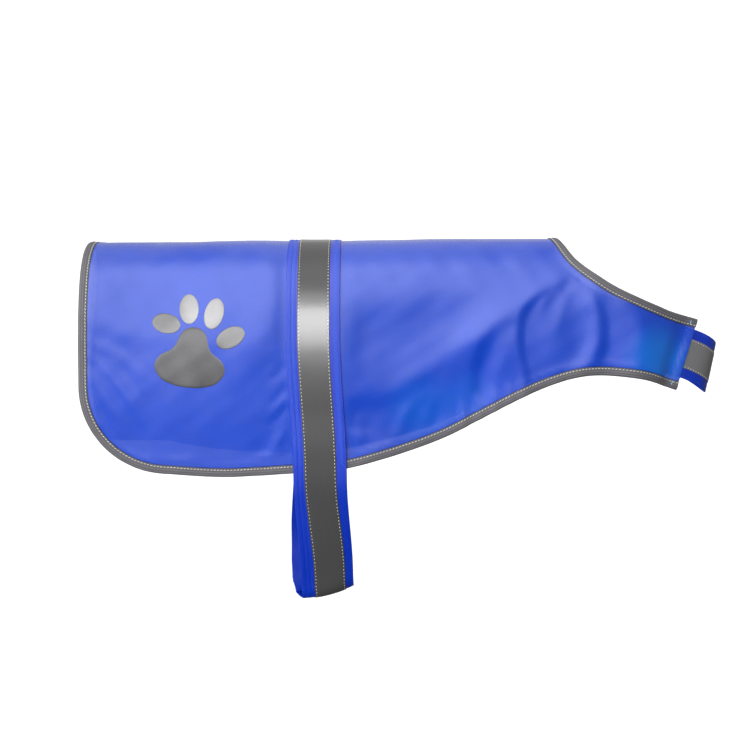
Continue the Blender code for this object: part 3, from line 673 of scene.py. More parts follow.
def sweep(name, grid, material, along, around):
    """A closed solid through an array of closed sections, with flat ends."""
    count, sides = grid.shape[:2]
    index = np.arange(count * sides).reshape(count, sides)
    after = np.roll(index, -1, 1)
    faces = np.stack([index[:-1], after[:-1], after[1:], index[1:]], -1).reshape(-1, 4).tolist()
    faces.append(index[0][::-1].tolist())
    faces.append(index[-1].tolist())
    uv = np.stack(np.broadcast_arrays(along[:, None], around[None, :]), -1).reshape(-1, 2)
    piece = make_piece(name, grid.reshape(-1, 3), faces, material, uv)
    return outward(piece)


def outward(piece):
    """Turn a closed piece's faces outwards."""
    mesh_data = bmesh.new()
    mesh_data.from_mesh(piece.data)
    bmesh.ops.recalc_face_normals(mesh_data, faces=mesh_data.faces[:])
    mesh_data.to_mesh(piece.data)
    mesh_data.free()
    return piece


# ======== Materials ========

class Nodes:
    """Short calls for one node tree, of a new material unless a world is given."""

    def __init__(self, name, world=None):
        self.material = world or bpy.data.materials.new(name)
        self.material.use_nodes = True
        self.tree = self.material.node_tree
        self.shader = self.tree.nodes["Background" if world else "Principled BSDF"]
        self.end = self.tree.nodes["World Output" if world else "Material Output"]

    def node(self, kind, inputs=None, **settings):
        made = self.tree.nodes.new(kind)
        for key, value in settings.items():
            setattr(made, key, value)
        for key, value in (inputs or {}).items():
            self.put(made.inputs[key], value)
        return made

    def put(self, socket, value):
        if isinstance(value, bpy.types.NodeSocket):
            self.tree.links.new(value, socket)
        else:
            socket.default_value = value

    def set(self, **inputs):
        for key, value in inputs.items():
            self.put(self.shader.inputs[key.replace("_", " ")], value)

    def math(self, operation, first, second=0.0, third=0.0):
        made = self.node("ShaderNodeMath", {0: first, 1: second, 2: third}, operation=operation)
        return made.outputs[0]

    def scaled(self, value, factor, added=0.0):
        """The value times the factor, and what is added."""
        return self.math("MULTIPLY_ADD", value, factor, added)

    def ramp(self, value, low, high):
        """0 at low and 1 at high, eased between them."""
        made = self.node("ShaderNodeMapRange", {"Value": value, "From Min": low, "From Max": high},
                         interpolation_type="SMOOTHSTEP")
        return made.outputs[0]

    def near(self, vector, place, fade, full):
        """1 within full of a place and 0 from fade on, in metres."""
        away = self.node("ShaderNodeVectorMath", {0: vector, 1: place}, operation="DISTANCE")
        return self.ramp(away.outputs["Value"], fade, full)

    def places(self, layer="cloth"):
        """The places on the cloth, or another layer: (vector, x, y), in metres."""
        vector = self.node("ShaderNodeUVMap", uv_map=layer).outputs[0]
        parts = self.node("ShaderNodeSeparateXYZ", {0: vector})
        return vector, parts.outputs[0], parts.outputs[1]

    def noise(self, vector, per_metre, detail, roughness=0.5):
        made = self.node("ShaderNodeTexNoise", {"Vector": vector, "Scale": per_metre,
                                                "Detail": detail, "Roughness": roughness})
        return made.outputs["Fac"]

    def spread(self, value, low, high):
        """A value from 0 to 1 turned into one from low to high."""
        made = self.node("ShaderNodeMapRange", {"Value": value, "To Min": low, "To Max": high})
        return made.outputs[0]

    def mix(self, share, first, second):
        made = self.node("ShaderNodeMix", data_type="RGBA")
        self.put(made.inputs["Factor"], share)
        self.put(made.inputs[6], (*first, 1) if isinstance(first, tuple) else first)
        self.put(made.inputs[7], (*second, 1) if isinstance(second, tuple) else second)
        return made.outputs[2]

    def wave(self, value, pitch, shift=0.0):
        """A sine along a length in metres, from -1 to 1."""
        return self.math("SINE", self.scaled(value, 2 * math.pi / pitch, shift))

    def bump(self, height, metres, strength):
        made = self.node("ShaderNodeBump", {"Height": height, "Distance": metres,
                                            "Strength": strength})
        self.set(Normal=made.outputs[0])


def knit_height(nodes, x, y, course, wale):
    """The small V shaped loops of a warp knit."""
    lean = nodes.math("PINGPONG", x, wale / 2)
    row = nodes.wave(nodes.math("ADD", y, lean), course)
    return nodes.scaled(row, 0.6, nodes.scaled(nodes.wave(x, wale), 0.4))


def see_through(nodes, share):
    """Let a share of what lies behind a closed thin shell show through it."""
    behind = nodes.node("ShaderNodeNewGeometry").outputs["Backfacing"]
    clear = nodes.node("ShaderNodeBsdfTransparent")
    mixed = nodes.node("ShaderNodeMixShader", {0: nodes.math("MAXIMUM", behind, share),
                                               1: nodes.shader.outputs[0], 2: clear.outputs[0]})
    nodes.put(nodes.end.inputs["Surface"], mixed.outputs[0])


def cloth_material():
    nodes = Nodes("vest_cloth_blue")
    vector, x, y = nodes.places()
    cloudy = nodes.noise(vector, 60, 3)
    grain = nodes.noise(vector, 800, 3, 0.7)
    tone = nodes.scaled(cloudy, 0.4, nodes.scaled(grain, 1.8, -0.6))
    on_one_side = nodes.node("ShaderNodeCombineXYZ", {0: x, 1: nodes.math("ABSOLUTE", y)}).outputs[0]
    # painted shade: a cooler tint on a few patches where the cloth lies in shade
    shade_teal = 0.0
    for patch_x, patch_girth, fade, strength in SHADE_TEAL_PLACES:
        patch = nodes.near(on_one_side, (patch_x, patch_girth, 0), fade, SHADE_TEAL_FULL)
        shade_teal = nodes.scaled(patch, strength, shade_teal)
    blue = nodes.mix(shade_teal, nodes.mix(tone, *CLOTH_BLUES), CLOTH_SHADE_TEAL)
    from_edge = nodes.places("from_edge")[1]
    # painted shadow: the cloth is darkened within about 7 mm of its bound edges
    edge_painted_shadow = nodes.scaled(nodes.ramp(from_edge, *EDGE_SHADOW_REACH), EDGE_SHADOW_STRENGTH)
    nodes.set(Base_Color=nodes.mix(edge_painted_shadow, blue, CLOTH_PAINTED_SHADOW), Roughness=nodes.spread(grain, 0.18, 0.24),
              Specular_IOR_Level=nodes.spread(grain, *CLOTH_SPECULAR))
    knit = knit_height(nodes, x, y, course=0.0007, wale=0.0009)
    nodes.bump(nodes.scaled(grain, 2.5, knit), 0.00004, 0.45)
    see_through(nodes, CLOTH_CLEAR)
    return nodes.material


def binding_material():
    nodes = Nodes("binding_grey")
    vector, x, y = nodes.places()
    grain = nodes.noise(vector, 1100, 3, 0.7)
    lines = nodes.wave(y, 0.0021, 1.2)
    tone = nodes.scaled(grain, 0.5, nodes.scaled(lines, 0.3, 0.25))
    nodes.set(Base_Color=nodes.mix(tone, *BINDING_GREYS),
              Roughness=nodes.spread(grain, 0.5, 0.65))
    nodes.bump(nodes.scaled(nodes.wave(x, 0.0008), 0.5, lines), 0.00008, 0.8)
    return nodes.material


def webbing_material():
    nodes = Nodes("band_blue")
    vector, x, y = nodes.places()
    grain = nodes.noise(vector, 700, 3)
    nodes.set(Base_Color=nodes.mix(grain, *BAND_BLUES),
              Roughness=nodes.spread(grain, 0.26, 0.34), Specular_IOR_Level=0.72)
    nodes.bump(nodes.math("MULTIPLY", nodes.wave(x, 0.0011), nodes.wave(y, 0.0011, 1.0)), 0.00006, 0.6)
    return nodes.material


def reflective_material(name, dark, light, rough, specular, painted_highlight_place):
    """Grey film of fine glass beads, with a painted highlight round a place when one is given."""
    nodes = Nodes(name)
    vector = nodes.places()[0]
    beads = nodes.noise(vector, 1300, 2, 0.8)
    patches = nodes.noise(vector, 240, 3)
    tone = nodes.scaled(beads, 0.7, nodes.scaled(patches, 0.3))
    grey = nodes.mix(tone, dark, light)
    if painted_highlight_place:
        # painted highlight: the film is paler round the given place
        pale = nodes.near(vector, painted_highlight_place, *PAINTED_HIGHLIGHT_FADE)
        grey = nodes.mix(pale, grey, nodes.mix(tone, *PAINTED_HIGHLIGHT_GREYS))
    nodes.set(Base_Color=grey, Roughness=nodes.spread(patches, rough - 0.02, rough + 0.02),
              Specular_IOR_Level=specular)
    nodes.bump(beads, 0.00003, 0.5)
    return nodes.material


def pad_material(name, color, pitch):
    nodes = Nodes(name)
    vector = nodes.places()[0]
    fuzz = nodes.noise(vector, 1 / pitch, 4, 0.7)
    dark = tuple(value * 0.75 for value in color)
    nodes.set(Base_Color=nodes.mix(fuzz, dark, color), Roughness=0.95)
    nodes.bump(fuzz, 0.0005, 0.8)
    return nodes.material


def thread_material(name, color):
    nodes = Nodes(name)
    vector = nodes.node("ShaderNodeTexCoord").outputs["Object"]
    grain = nodes.noise(vector, 1500, 1)
    dark = tuple(value * 0.8 for value in color)
    nodes.set(Base_Color=nodes.mix(grain, dark, color), Roughness=0.6)
    return nodes.material


# ======== The vest cloth ========

def inside(place, outline):
    """Which places of the (x, girth) plane lie inside a closed outline."""
    hit = np.zeros(len(place), bool)
    for start, end in zip(outline, np.roll(outline, -1, 0)):
        if start[1] != end[1]:
            spans = (start[1] > place[:, 1]) != (end[1] > place[:, 1])
            crossing = start[0] + (place[:, 1] - start[1]) / (end[1] - start[1]) * (end[0] - start[0])
            hit ^= spans & (place[:, 0] < crossing)
    return hit


def nearest(place, line):
    """The distance from many places to the nearest point of a dense line."""
    found = []
    for part in np.array_split(place, 1 + len(place) // PLACES_AT_ONCE):
        found.append(np.sqrt(((part[:, None] - line[None]) ** 2).sum(-1).min(1)))
    return np.concatenate(found)


def cut_cloth():
    """Triangulate the vest cloth: (places, triangles)."""
    front_right = even_stations(np.array([HEM[0], NECK[0]]), CLOTH_STEP)[1:-1]
    front_left = even_stations(np.array([NECK[-1], HEM[-1]]), CLOTH_STEP)[1:-1]
    outline = np.vstack([HEM[::-1], front_right, NECK, front_left])
    low, high = outline.min(0), outline.max(0)
    columns = np.arange(low[0], high[0], CLOTH_STEP)
    rows = np.arange(low[1], high[1], CLOTH_STEP)
    grid = np.stack(np.meshgrid(columns, rows), -1).reshape(-1, 2)
    grid = grid[inside(grid, outline)]
    grid = grid[nearest(grid, outline) > CLOTH_STEP * EDGE_ROOM]
    places = np.vstack([outline, grid])
    count = len(outline)
    edges = [(i, (i + 1) % count) for i in range(count)]
    inside_only, tolerance = 1, 1e-4
    made, _, triangles, _, _, _ = geometry.delaunay_2d_cdt(
        [Vector(place) for place in places], edges, [list(range(count))], inside_only, tolerance)
    made = np.array([tuple(place) for place in made])
    return made, np.array(triangles, int)


def open_edges(triangles):
    """The directed edges that belong to one triangle only."""
    used = {(int(tri[i]), int(tri[(i + 1) % 3])) for tri in triangles for i in range(3)}
    return sorted(edge for edge in used if (edge[1], edge[0]) not in used)


def shell(name, base, outwards, low, high, triangles, uv, material):
    """A thin wall with the same triangles on both faces."""
    count = len(base)
    points = np.vstack([base + outwards * np.asarray(high).reshape(-1, 1),
                        base + outwards * np.asarray(low).reshape(-1, 1)])
    faces = [tuple(tri) for tri in triangles]
    faces += [tuple(count + i for i in reversed(tri)) for tri in triangles]
    faces += [(end, start, count + start, count + end) for start, end in open_edges(triangles)]
    return outward(make_piece(name, points, faces, material, np.vstack([uv, uv])))


def vest_cloth(material):
    """The cloth, puffed up a little beside its hem's binding."""
    places, triangles = cut_cloth()
    base, outwards = laid(places[:, 0], places[:, 1])
    from_edge = nearest(places, HEM)
    puff = eased(EDGE_PUFF, from_edge) * ease(*PUFF_BESIDE_BAND, beside_band(*places.T))
    base = base + outwards * puff[:, None]
    piece = shell("vest_cloth", base, outwards, CLOTH_LOW, CLOTH_TOP, triangles, places, material)
    from_edge = np.minimum(from_edge, nearest(places, NECK))
    add_uv(piece.data, "from_edge", np.stack([np.tile(from_edge, 2), np.zeros(2 * len(places))], -1))
    return piece


# ======== Bindings ========

BINDING_PROFILE = (
    # distance inside the cloth's edge, height
    (6.20, 1.22), (6.30, 1.50), (6.22, 1.80), (5.95, 1.98), (5.50, 2.00), (5.00, 1.82),
    (4.50, 1.98), (3.80, 2.10), (2.60, 2.16), (1.40, 2.16), (0.40, 2.08), (-0.50, 1.80),
    (-0.98, 1.30), (-1.10, 0.75), (-0.98, 0.20), (-0.50, -0.30), (0.40, -0.56), (1.40, -0.62),
    (2.60, -0.62), (3.80, -0.56), (4.50, -0.46), (5.00, -0.32), (5.50, -0.46), (5.95, -0.44),
    (6.22, -0.26), (6.30, 0.10), (6.20, 0.66), (3.00, 0.66), (0.20, 0.68), (0.20, 1.22), (3.00, 1.22),
)
BINDING_TOP_FACE = 1.25       # heights over this are on its upper face,
BINDING_LOW_FACE = 0.6        # and under this on its lower one


def edge_point(edge, leg, inset, lift):
    """Places over a cloth edge, at an inset from it towards the line where the binding ends."""
    share = np.maximum(inset, 0) / BINDING_WIDTH
    place = edge + (leg - edge) * share
    point = cloth(*place.T, lift)
    if inset < 0:
        point = point + unit(point - cloth(*leg.T, lift)) * -inset
    return point


def binding(name, edge, inwards, material):
    """A tape folded round an edge, whose faces are slightly uneven."""
    leg = inset_line(edge, BINDING_WIDTH, inwards)
    along = lengths_along(edge)
    sections = []
    for inset, lift in BINDING_PROFILE:
        slack = 0.05 * np.sin(along / 4.1 + inset) + 0.035 * np.sin(along / 1.9 + 2.0)
        face = 1 if lift > BINDING_TOP_FACE else -1 if lift < BINDING_LOW_FACE else 0
        outwards = normal(edge[:, 0], edge[:, 1]) * (slack * face)[:, None]
        sections.append(edge_point(edge, leg, inset, lift) + outwards)
    grid = np.stack(sections, 1)
    around = lengths_along(np.array(BINDING_PROFILE))
    return sweep(name, grid, material, along, around)


# ======== Strips ========

def strip_profile(width, thick, grooves=()):
    """A strip's closed section: (across, height), with rounded edges and shallow grooves."""
    half = width / 2
    inner = np.linspace(-half + STRIP_SIDE, half - STRIP_SIDE, max(5, round(width / STRIP_POINTS)))
    for groove in grooves:
        inner = np.concatenate([inner, [groove - GROOVE_REACH, groove, groove + GROOVE_REACH]])
    inner = np.unique(np.round(inner, 3))
    inner = inner[np.abs(inner) < half - STRIP_EDGE]
    height = np.full(len(inner), float(thick))
    for groove in grooves:
        height -= GROOVE_DEPTH * np.exp(-((inner - groove) / GROOVE_WIDTH) ** 2)
    rear = [(-half + inset, share * thick) for inset, share in STRIP_ROUND]
    front = [(half - inset, share * thick) for inset, share in STRIP_ROUND[::-1]]
    under = [half - STRIP_UNDER, *inner[::-3], -half + STRIP_UNDER]
    return np.array(rear + list(zip(inner, height)) + front + [(across, 0) for across in under])


def sewn_rows(width, inset):
    """Where the two sewn lines of a strip lie, across from its middle line."""
    return -width / 2 + inset, width / 2 - inset


def strip(name, point_at, stations, low, section, material):
    """A strip swept along a carrier; point_at takes arrays of station, across and height."""
    profile = strip_profile(*section)
    station, across = np.meshgrid(stations, profile[:, 0], indexing="ij")
    height = np.broadcast_to(profile[:, 1] + low, station.shape)
    grid = point_at(station, across, height)
    return sweep(name, grid, material, lengths_along(grid[:, 0]), profile[:, 0])


# ======== The belly band ========

def loop_turn():
    """FIGURE_TURN's rows, going on down the loop to its lowest place."""
    rows = [row for row in FIGURE_TURN if row[0] < LOOP_START]
    rows.append((LOOP_START, math.degrees(np.interp(LOOP_START, GIRTHS, ELEVATIONS))))
    bend_end = LOOP_START + LOOP_BEND
    rows.append((bend_end, -LOOP_SLOPE))
    fine = np.arange(0, bend_end + LOOP_STEP / 2, LOOP_STEP)
    turn = np.radians(np.interp(fine, *zip(*rows)))
    out = running_sum(np.sin(turn), LOOP_STEP)[-1]
    slope = math.radians(LOOP_SLOPE)
    straight = (out - LOOP_FOLD_RADIUS * math.cos(slope)) / math.sin(slope)
    rows.append((bend_end + straight, -LOOP_SLOPE))
    rows.append((bend_end + straight + LOOP_FOLD_RADIUS * (math.pi / 2 - slope), -90))
    return rows


BAND_TURN = loop_turn()
BAND_BOTTOM = BAND_TURN[-1][0]
BAND_FOLD = BAND_BOTTOM - BAND_TURN[-2][0]
BAND_NEAR_TIP = 2 * BAND_BOTTOM - BAND_FAR_TIP + BAND_OVERLAP
LOOP_GIRTHS = np.arange(0, BAND_BOTTOM + 2 * LOOP_STEP, LOOP_STEP)
LOOP_ELEVATIONS = np.radians(np.interp(LOOP_GIRTHS, *zip(*BAND_TURN)))
LOOP_OUTS = running_sum(np.sin(LOOP_ELEVATIONS), LOOP_STEP)
LOOP_DOWNS = running_sum(np.cos(LOOP_ELEVATIONS), LOOP_STEP)


def band_lift(girth):
    """The height of the band's under face; its near end lies over the far one."""
    lift = BAND_LOW + HEM_CLEARANCE * ease(HEM_CLEAR_START, HEM_CLEAR_END, np.abs(girth))
    over = (BAND_THICK + PAD_STACK) * ease(BAND_BOTTOM - BAND_FOLD, BAND_BOTTOM + BAND_FOLD, -girth)
    return lift + np.where(girth < 0, over, 0)


def band_point(girth, across, lift):
    """Places over the belly band's inner face, across from its middle line."""
    height = band_lift(girth) + lift
    shift = eased(BAND_LEAN, girth)
    on_cloth = cloth(shift + across, np.clip(girth, -LOOP_START, LOOP_START), height)
    past = np.where(girth < 0, -girth - BAND_BOTTOM, BAND_BOTTOM - girth)
    loop_shift, rise, turned_by = [eased(LOOP_LEAN, past, column) for column in (1, 2, 3)]
    turned_by = np.radians(turned_by)
    sag = LOOP_SAG * ease(LOOP_SAG_REACH, 0, np.abs(past)) * (1 - (2 * across / BAND_WIDTH) ** 2)
    along = np.abs(girth)
    beyond = along > BAND_BOTTOM
    side = np.sign(girth) * np.where(beyond, -1, 1)
    along = np.where(beyond, 2 * BAND_BOTTOM - along, along)
    turn = np.interp(along, LOOP_GIRTHS, LOOP_ELEVATIONS)
    out = np.interp(along, LOOP_GIRTHS, LOOP_OUTS) + height * np.cos(turn)
    down = np.interp(along, LOOP_GIRTHS, LOOP_DOWNS) - height * np.sin(turn)
    free = np.stack([loop_shift + across * np.cos(turned_by),
                     side * out + across * np.sin(turned_by), rise * across - down - sag], -1)
    return np.where((np.abs(girth) <= LOOP_START)[..., None], on_cloth, free)


def tape_point(girth, across, lift):
    """Places over the band, across from the middle of its reflective tape."""
    return band_point(girth, across + eased(BAND_TAPE_DRIFT, girth), lift)


def band_stations(start, end):
    return np.linspace(start, end, round((end - start) / STRIP_STEP) + 1)


TAPE_ROWS = sewn_rows(BAND_TAPE_WIDTH, TAPE_ROW_INSET)


def belly_band(webbing, tape, soft, hooks):
    """The band, its tape and the two halves of its fastener."""
    soft_ends = (2 * BAND_BOTTOM - BAND_NEAR_TIP + SOFT_END, BAND_FAR_TIP - SOFT_END)
    hook_ends = (-BAND_NEAR_TIP + HOOKS_END, BAND_FAR_TIP - 2 * BAND_BOTTOM - HOOKS_END)
    pad = (PAD_WIDTH, PAD_THICK)
    rows = (
        # name, carrier, first and last girth, height, section, material
        ("belly_webbing", band_point, (-BAND_NEAR_TIP, BAND_FAR_END), 0,
         (BAND_WIDTH, BAND_THICK, BAND_GROOVES), webbing),
        ("belly_reflector", tape_point, (-BAND_NEAR_TIP + TAPE_END, HEM_CLEAR_END), BAND_THICK,
         (BAND_TAPE_WIDTH, TAPE_THICK, TAPE_ROWS), tape),
        ("belly_soft_pad", band_point, soft_ends, BAND_THICK + PAD_GAP, pad, soft),
        ("belly_hook_pad", band_point, hook_ends, -UNDER_GAP - PAD_THICK, pad, hooks),
    )
    return [strip(name, carrier, band_stations(*ends), low, section, material)
            for name, carrier, ends, low, section, material in rows]


# ======== The chest band ========

def wing_point(side, back, across, lift):
    """Places on the cloth behind its front end, across from the band's middle line."""
    lower, upper = end_corners(side)
    upwards, backwards = end_ways(side)
    middle = (lower + upper) / 2 + upwards * CHEST_BAND_RAISE
    x = middle[0] + backwards[0] * back + upwards[0] * across
    girth = middle[1] + backwards[1] * back + upwards[1] * across
    return cloth(x, girth, lift)


def bridge_point(side, share, across, lift):
    """Places on the band between a front end, at 0, and the foremost place, at 1."""
    zero = np.zeros(1)
    end = wing_point(side, zero, zero, zero)[0]
    end_run = unit(end - wing_point(side, zero + 1, zero, zero)[0])
    end_up = unit(wing_point(side, zero, zero + 1, zero)[0] - end)
    front = np.array((CHEST_FRONT_X, 0, -CHEST_FRONT_DROP), float)
    tilt = math.radians(CHEST_FRONT_TILT)
    front_up = np.array((math.sin(tilt), 0, math.cos(tilt)))
    handles = (end, end + end_run * CHEST_END_HANDLE,
               front + np.array((0, side * CHEST_FRONT_HANDLE, 0)), front)
    t = share[..., None]
    rest = 1 - t
    weights = (rest ** 3, 3 * rest * rest * t, 3 * rest * t * t, t ** 3)
    middle = sum(handle * weight for handle, weight in zip(handles, weights))
    run = unit((handles[1] - handles[0]) * rest * rest + (handles[2] - handles[1]) * 2 * rest * t
               + (handles[3] - handles[2]) * t * t)
    turn = ease(0, 1, t)
    up = unit(end_up * (1 - turn) + front_up * turn)
    outwards = unit(np.cross(up, run)) * side
    return middle + up * across[..., None] + outwards * lift[..., None]


CHEST_LOW = -UNDER_GAP - BAND_THICK
CHEST_HIGH = CLOTH_TOP + PAD_STACK


def chest_point(station, across, lift):
    """Places over the chest band: below 0 under the right end, past 2 over the left one."""
    height = CHEST_LOW + (CHEST_HIGH - CHEST_LOW) * ease(*CHEST_RISE, station) + lift
    under = wing_point(-1, -np.minimum(station, 0), across, height)
    over = wing_point(1, np.maximum(station - CHEST_LEFT, 0), across, height)
    share = np.clip(np.minimum(station, CHEST_LEFT - station), 0, 1)
    near = bridge_point(-1, share, across, height)
    far = bridge_point(1, share, across, height)
    station = station[..., None]
    bridge = np.where(station < 1, near, far)
    return np.where(station <= 0, under, np.where(station >= CHEST_LEFT, over, bridge))


def chest_stations(back, over):
    behind = np.linspace(-back, 0, max(2, round(back / STRIP_STEP)))[:-1] if back > 0 else []
    bridge = np.linspace(0, CHEST_LEFT, CHEST_BRIDGE_POINTS)
    ahead = CHEST_LEFT + np.linspace(0, over, round(over / STRIP_STEP) + 1)[1:]
    return np.concatenate([behind, bridge, ahead])


CHEST_TAPE_ROWS = sewn_rows(CHEST_TAPE_WIDTH, TAPE_ROW_INSET)
CHEST_ROWS = sewn_rows(CHEST_BAND_WIDTH, CHEST_ROW_INSET)


def left_wing(back, across, lift):
    return wing_point(1, back, across, lift)


def chest_band(webbing, tape, soft, hooks):
    """The band, its tape and the two halves of its fastener."""
    tape_stations = chest_stations(0, CHEST_OVERLAP - TAPE_END)
    tape_stations[0] = CHEST_TAPE_START
    pad = (PAD_WIDTH, PAD_THICK)
    rows = (
        # name, carrier, stations, height, section, material
        ("chest_webbing", chest_point, chest_stations(CHEST_SEAM, CHEST_OVERLAP), 0,
         (CHEST_BAND_WIDTH, BAND_THICK, CHEST_ROWS), webbing),
        ("chest_reflector", chest_point, tape_stations, BAND_THICK,
         (CHEST_TAPE_WIDTH, TAPE_THICK, CHEST_TAPE_ROWS), tape),
        ("chest_soft_pad", left_wing, np.linspace(*CHEST_LOOP_PAD), CLOTH_TOP + PAD_GAP, pad, soft),
        ("chest_hook_pad", left_wing, np.linspace(*CHEST_HOOK_PAD), CHEST_HIGH - PAD_GAP - PAD_THICK,
         pad, hooks),
    )
    return [strip(*row) for row in rows]


# ======== The paw print ========

def turned(points, degrees):
    """Points of a plane turned about its origin."""
    angle = math.radians(degrees)
    matrix = np.array([(math.cos(angle), math.sin(angle)), (-math.sin(angle), math.cos(angle))])
    return np.asarray(points, float) @ matrix


def pad_outline():
    right = np.array(PAW_PAD_HALF, float)
    left = right[-2:0:-1] * (-1, 1)
    loop = np.vstack([right, left])
    curve = smooth_through(np.vstack([loop[-1:], loop, loop[:2]]), PAW_STEPS)[PAW_STEPS:-PAW_STEPS]
    return turned(curve[:-1], PAW_TURN)


def toe_outline(half_width, half_height, degrees):
    angles = np.linspace(0, 2 * math.pi, TOE_POINTS, endpoint=False)
    points = np.stack([half_width * np.cos(angles), half_height * np.sin(angles)], -1)
    return turned(points, degrees)


def round_print(name, middle, outline, material):
    """A thin film with a soft rim, laid on the cloth."""
    count = len(outline)
    middle = np.array(middle, float)
    places = np.vstack([middle[None]] + [middle + outline * ring for ring, _ in PRINT_RINGS])
    drops = np.array([0] + [drop for _, drop in PRINT_RINGS for _ in range(count)])
    triangles = [(0, 1 + i, 1 + (i + 1) % count) for i in range(count)]
    for near, near_after, far_after, far in ring_faces(len(PRINT_RINGS), count, 1):
        triangles += [(near, far, far_after), (near, far_after, near_after)]
    base, outwards = laid(places[:, 0], places[:, 1])
    high = CLOTH_TOP + PRINT_CLEAR + PRINT_THICK * (1 - drops)
    return shell(name, base, outwards, CLOTH_TOP - PRINT_SINK, high, triangles, places, material)


def paw_print(pad_film, lit_toe_film):
    pieces = [round_print("print_pad", PAW_PAD, pad_outline(), pad_film)]
    for number, (x, girth, half_width, half_height, degrees) in enumerate(PAW_TOES, 1):
        outline = toe_outline(half_width, half_height, degrees)
        pieces.append(round_print(f"print_toe_{number}", (x, girth), outline, lit_toe_film))
    return pieces


# ======== Stitches ========

def stitch_shape():
    """One stitch lying along its first axis: (points, faces), about 1 long, wide and high."""
    angles = 2 * np.pi * np.arange(STITCH_SIDES) / STITCH_SIDES
    points = [(-0.5, 0, -0.1)]
    for along, size in STITCH_RINGS:
        points += [(along, 0.5 * size * math.cos(angle), 0.5 * size * math.sin(angle)) for angle in angles]
    last = len(points)
    points.append((0.5, 0, -0.1))
    sides = [(i, (i + 1) % STITCH_SIDES) for i in range(STITCH_SIDES)]
    faces = [(0, 1 + after, 1 + i) for i, after in sides]
    faces += ring_faces(len(STITCH_RINGS), STITCH_SIDES, 1)
    faces += [(last, last - STITCH_SIDES + i, last - STITCH_SIDES + after) for i, after in sides]
    return np.array(points, float), faces


def stitches(name, rows, material, size=STITCH):
    """One mesh of stitches; each row is (places, ways along, ways outwards)."""
    shape, faces = stitch_shape()
    places = np.vstack([row[0] for row in rows])
    forward = np.vstack([row[1] for row in rows])
    outwards = np.vstack([row[2] for row in rows])
    sideways = unit(np.cross(outwards, forward))
    outwards = np.cross(forward, sideways)
    points = places[:, None]
    for way, column, reach in zip((forward, sideways, outwards), shape.T, size):
        points = points + way[:, None] * (column * reach)[None, :, None]
    starts = range(0, len(places) * len(shape), len(shape))
    all_faces = [tuple(start + i for i in face) for start in starts for face in faces]
    return make_piece(name, points.reshape(-1, 3), all_faces, material, sharp=180)


def row_on_cloth(line, lift, pitch=STITCH_PITCH, way=1):
    """Stitches along a line of the (x, girth) plane."""
    stations = even_stations(line, pitch)
    points = cloth(*stations.T, lift)
    outwards = normal(*((stations[1:] + stations[:-1]) / 2).T) * way
    return (points[1:] + points[:-1]) / 2, unit(points[1:] - points[:-1]), outwards


def row_on_strip(point_at, stations, across, height, pitch=STITCH_PITCH):
    """Stitches along a strip, across from its middle line."""
    fine = np.linspace(*stations, ROW_POINTS)
    level = np.ones(ROW_POINTS)
    lengths = lengths_along(point_at(fine, level * across, level * height))
    count = round(lengths[-1] / pitch)
    ends = np.interp(np.linspace(0, lengths[-1], count + 1), lengths, fine)
    level = np.ones(count + 1)
    points = point_at(ends, level * across, level * height)
    rise = point_at(ends, level * across, level * height + 1) - points
    return (points[1:] + points[:-1]) / 2, unit(points[1:] - points[:-1]), unit(rise[1:] + rise[:-1])


def slanted(row, degrees):
    """A row whose stitches are turned on the surface that they lie on."""
    places, forward, outwards = row
    angle = math.radians(degrees)
    sideways = unit(np.cross(outwards, forward))
    return places, forward * math.cos(angle) + sideways * math.sin(angle), outwards


def binding_stitches(material):
    rows = []
    for edge, inwards in BOUND_EDGES:
        line = inset_line(edge, BINDING_WIDTH - EDGE_ROW_INSET, inwards)
        rows += [slanted(row_on_cloth(line, lift, EDGE_PITCH, way), EDGE_SLANT) for lift, way in EDGE_FACES]
    return stitches("binding_stitches", rows, material, EDGE_STITCH)


def tacks(material):
    """A short bar of thread across each end of both bindings."""
    rows = []
    for edge, inwards in BOUND_EDGES:
        line = even_stations(inset_line(edge, BINDING_WIDTH / 2, inwards), TACK_STEP)
        for ends in (line[1:3], line[-3:-1]):
            row = slanted(row_on_cloth(ends, TACK_LIFT, TACK_STEP), 90)
            rows.append([part[:1] for part in row])
    return stitches("corner_tacks", rows, material, TACK)


def front_stitches(material):
    """The row that holds the cloth's turned front ends."""
    rows = []
    for side, back in zip((-1, 1), FRONT_ROW):
        lower, upper = end_corners(side)
        upwards, backwards = end_ways(side)
        ends = np.array([lower + upwards * BINDING_WIDTH, upper - upwards * BINDING_WIDTH])
        rows.append(row_on_cloth(ends + backwards * back, CLOTH_TOP + FRONT_ROW_LIFT))
    return stitches("front_stitches", rows, material)


def tape_stitches(material):
    """The rows along both edges of the belly band's tape and of the chest band's."""
    top = BAND_THICK + TAPE_THICK - THREAD_SINK
    on_figure = (-LOOP_START, HEM_CLEAR_END - ROW_END)
    on_loop = (-BAND_NEAR_TIP + (TAPE_END + ROW_END), -LOOP_START)
    on_chest = (2 * CHEST_TAPE_START, CHEST_LEFT + CHEST_OVERLAP - TAPE_END - ROW_END)
    rows = []
    for across in TAPE_ROWS:
        rows.append(row_on_strip(tape_point, on_figure, across, top))
        rows.append(row_on_strip(tape_point, on_loop, across, top, LOOP_PITCH))
    chest_rows = [row_on_strip(chest_point, on_chest, across, top) for across in CHEST_TAPE_ROWS]
    return (stitches("tape_stitches", rows, material),
            stitches("chest_tape_stitches", chest_rows, material))


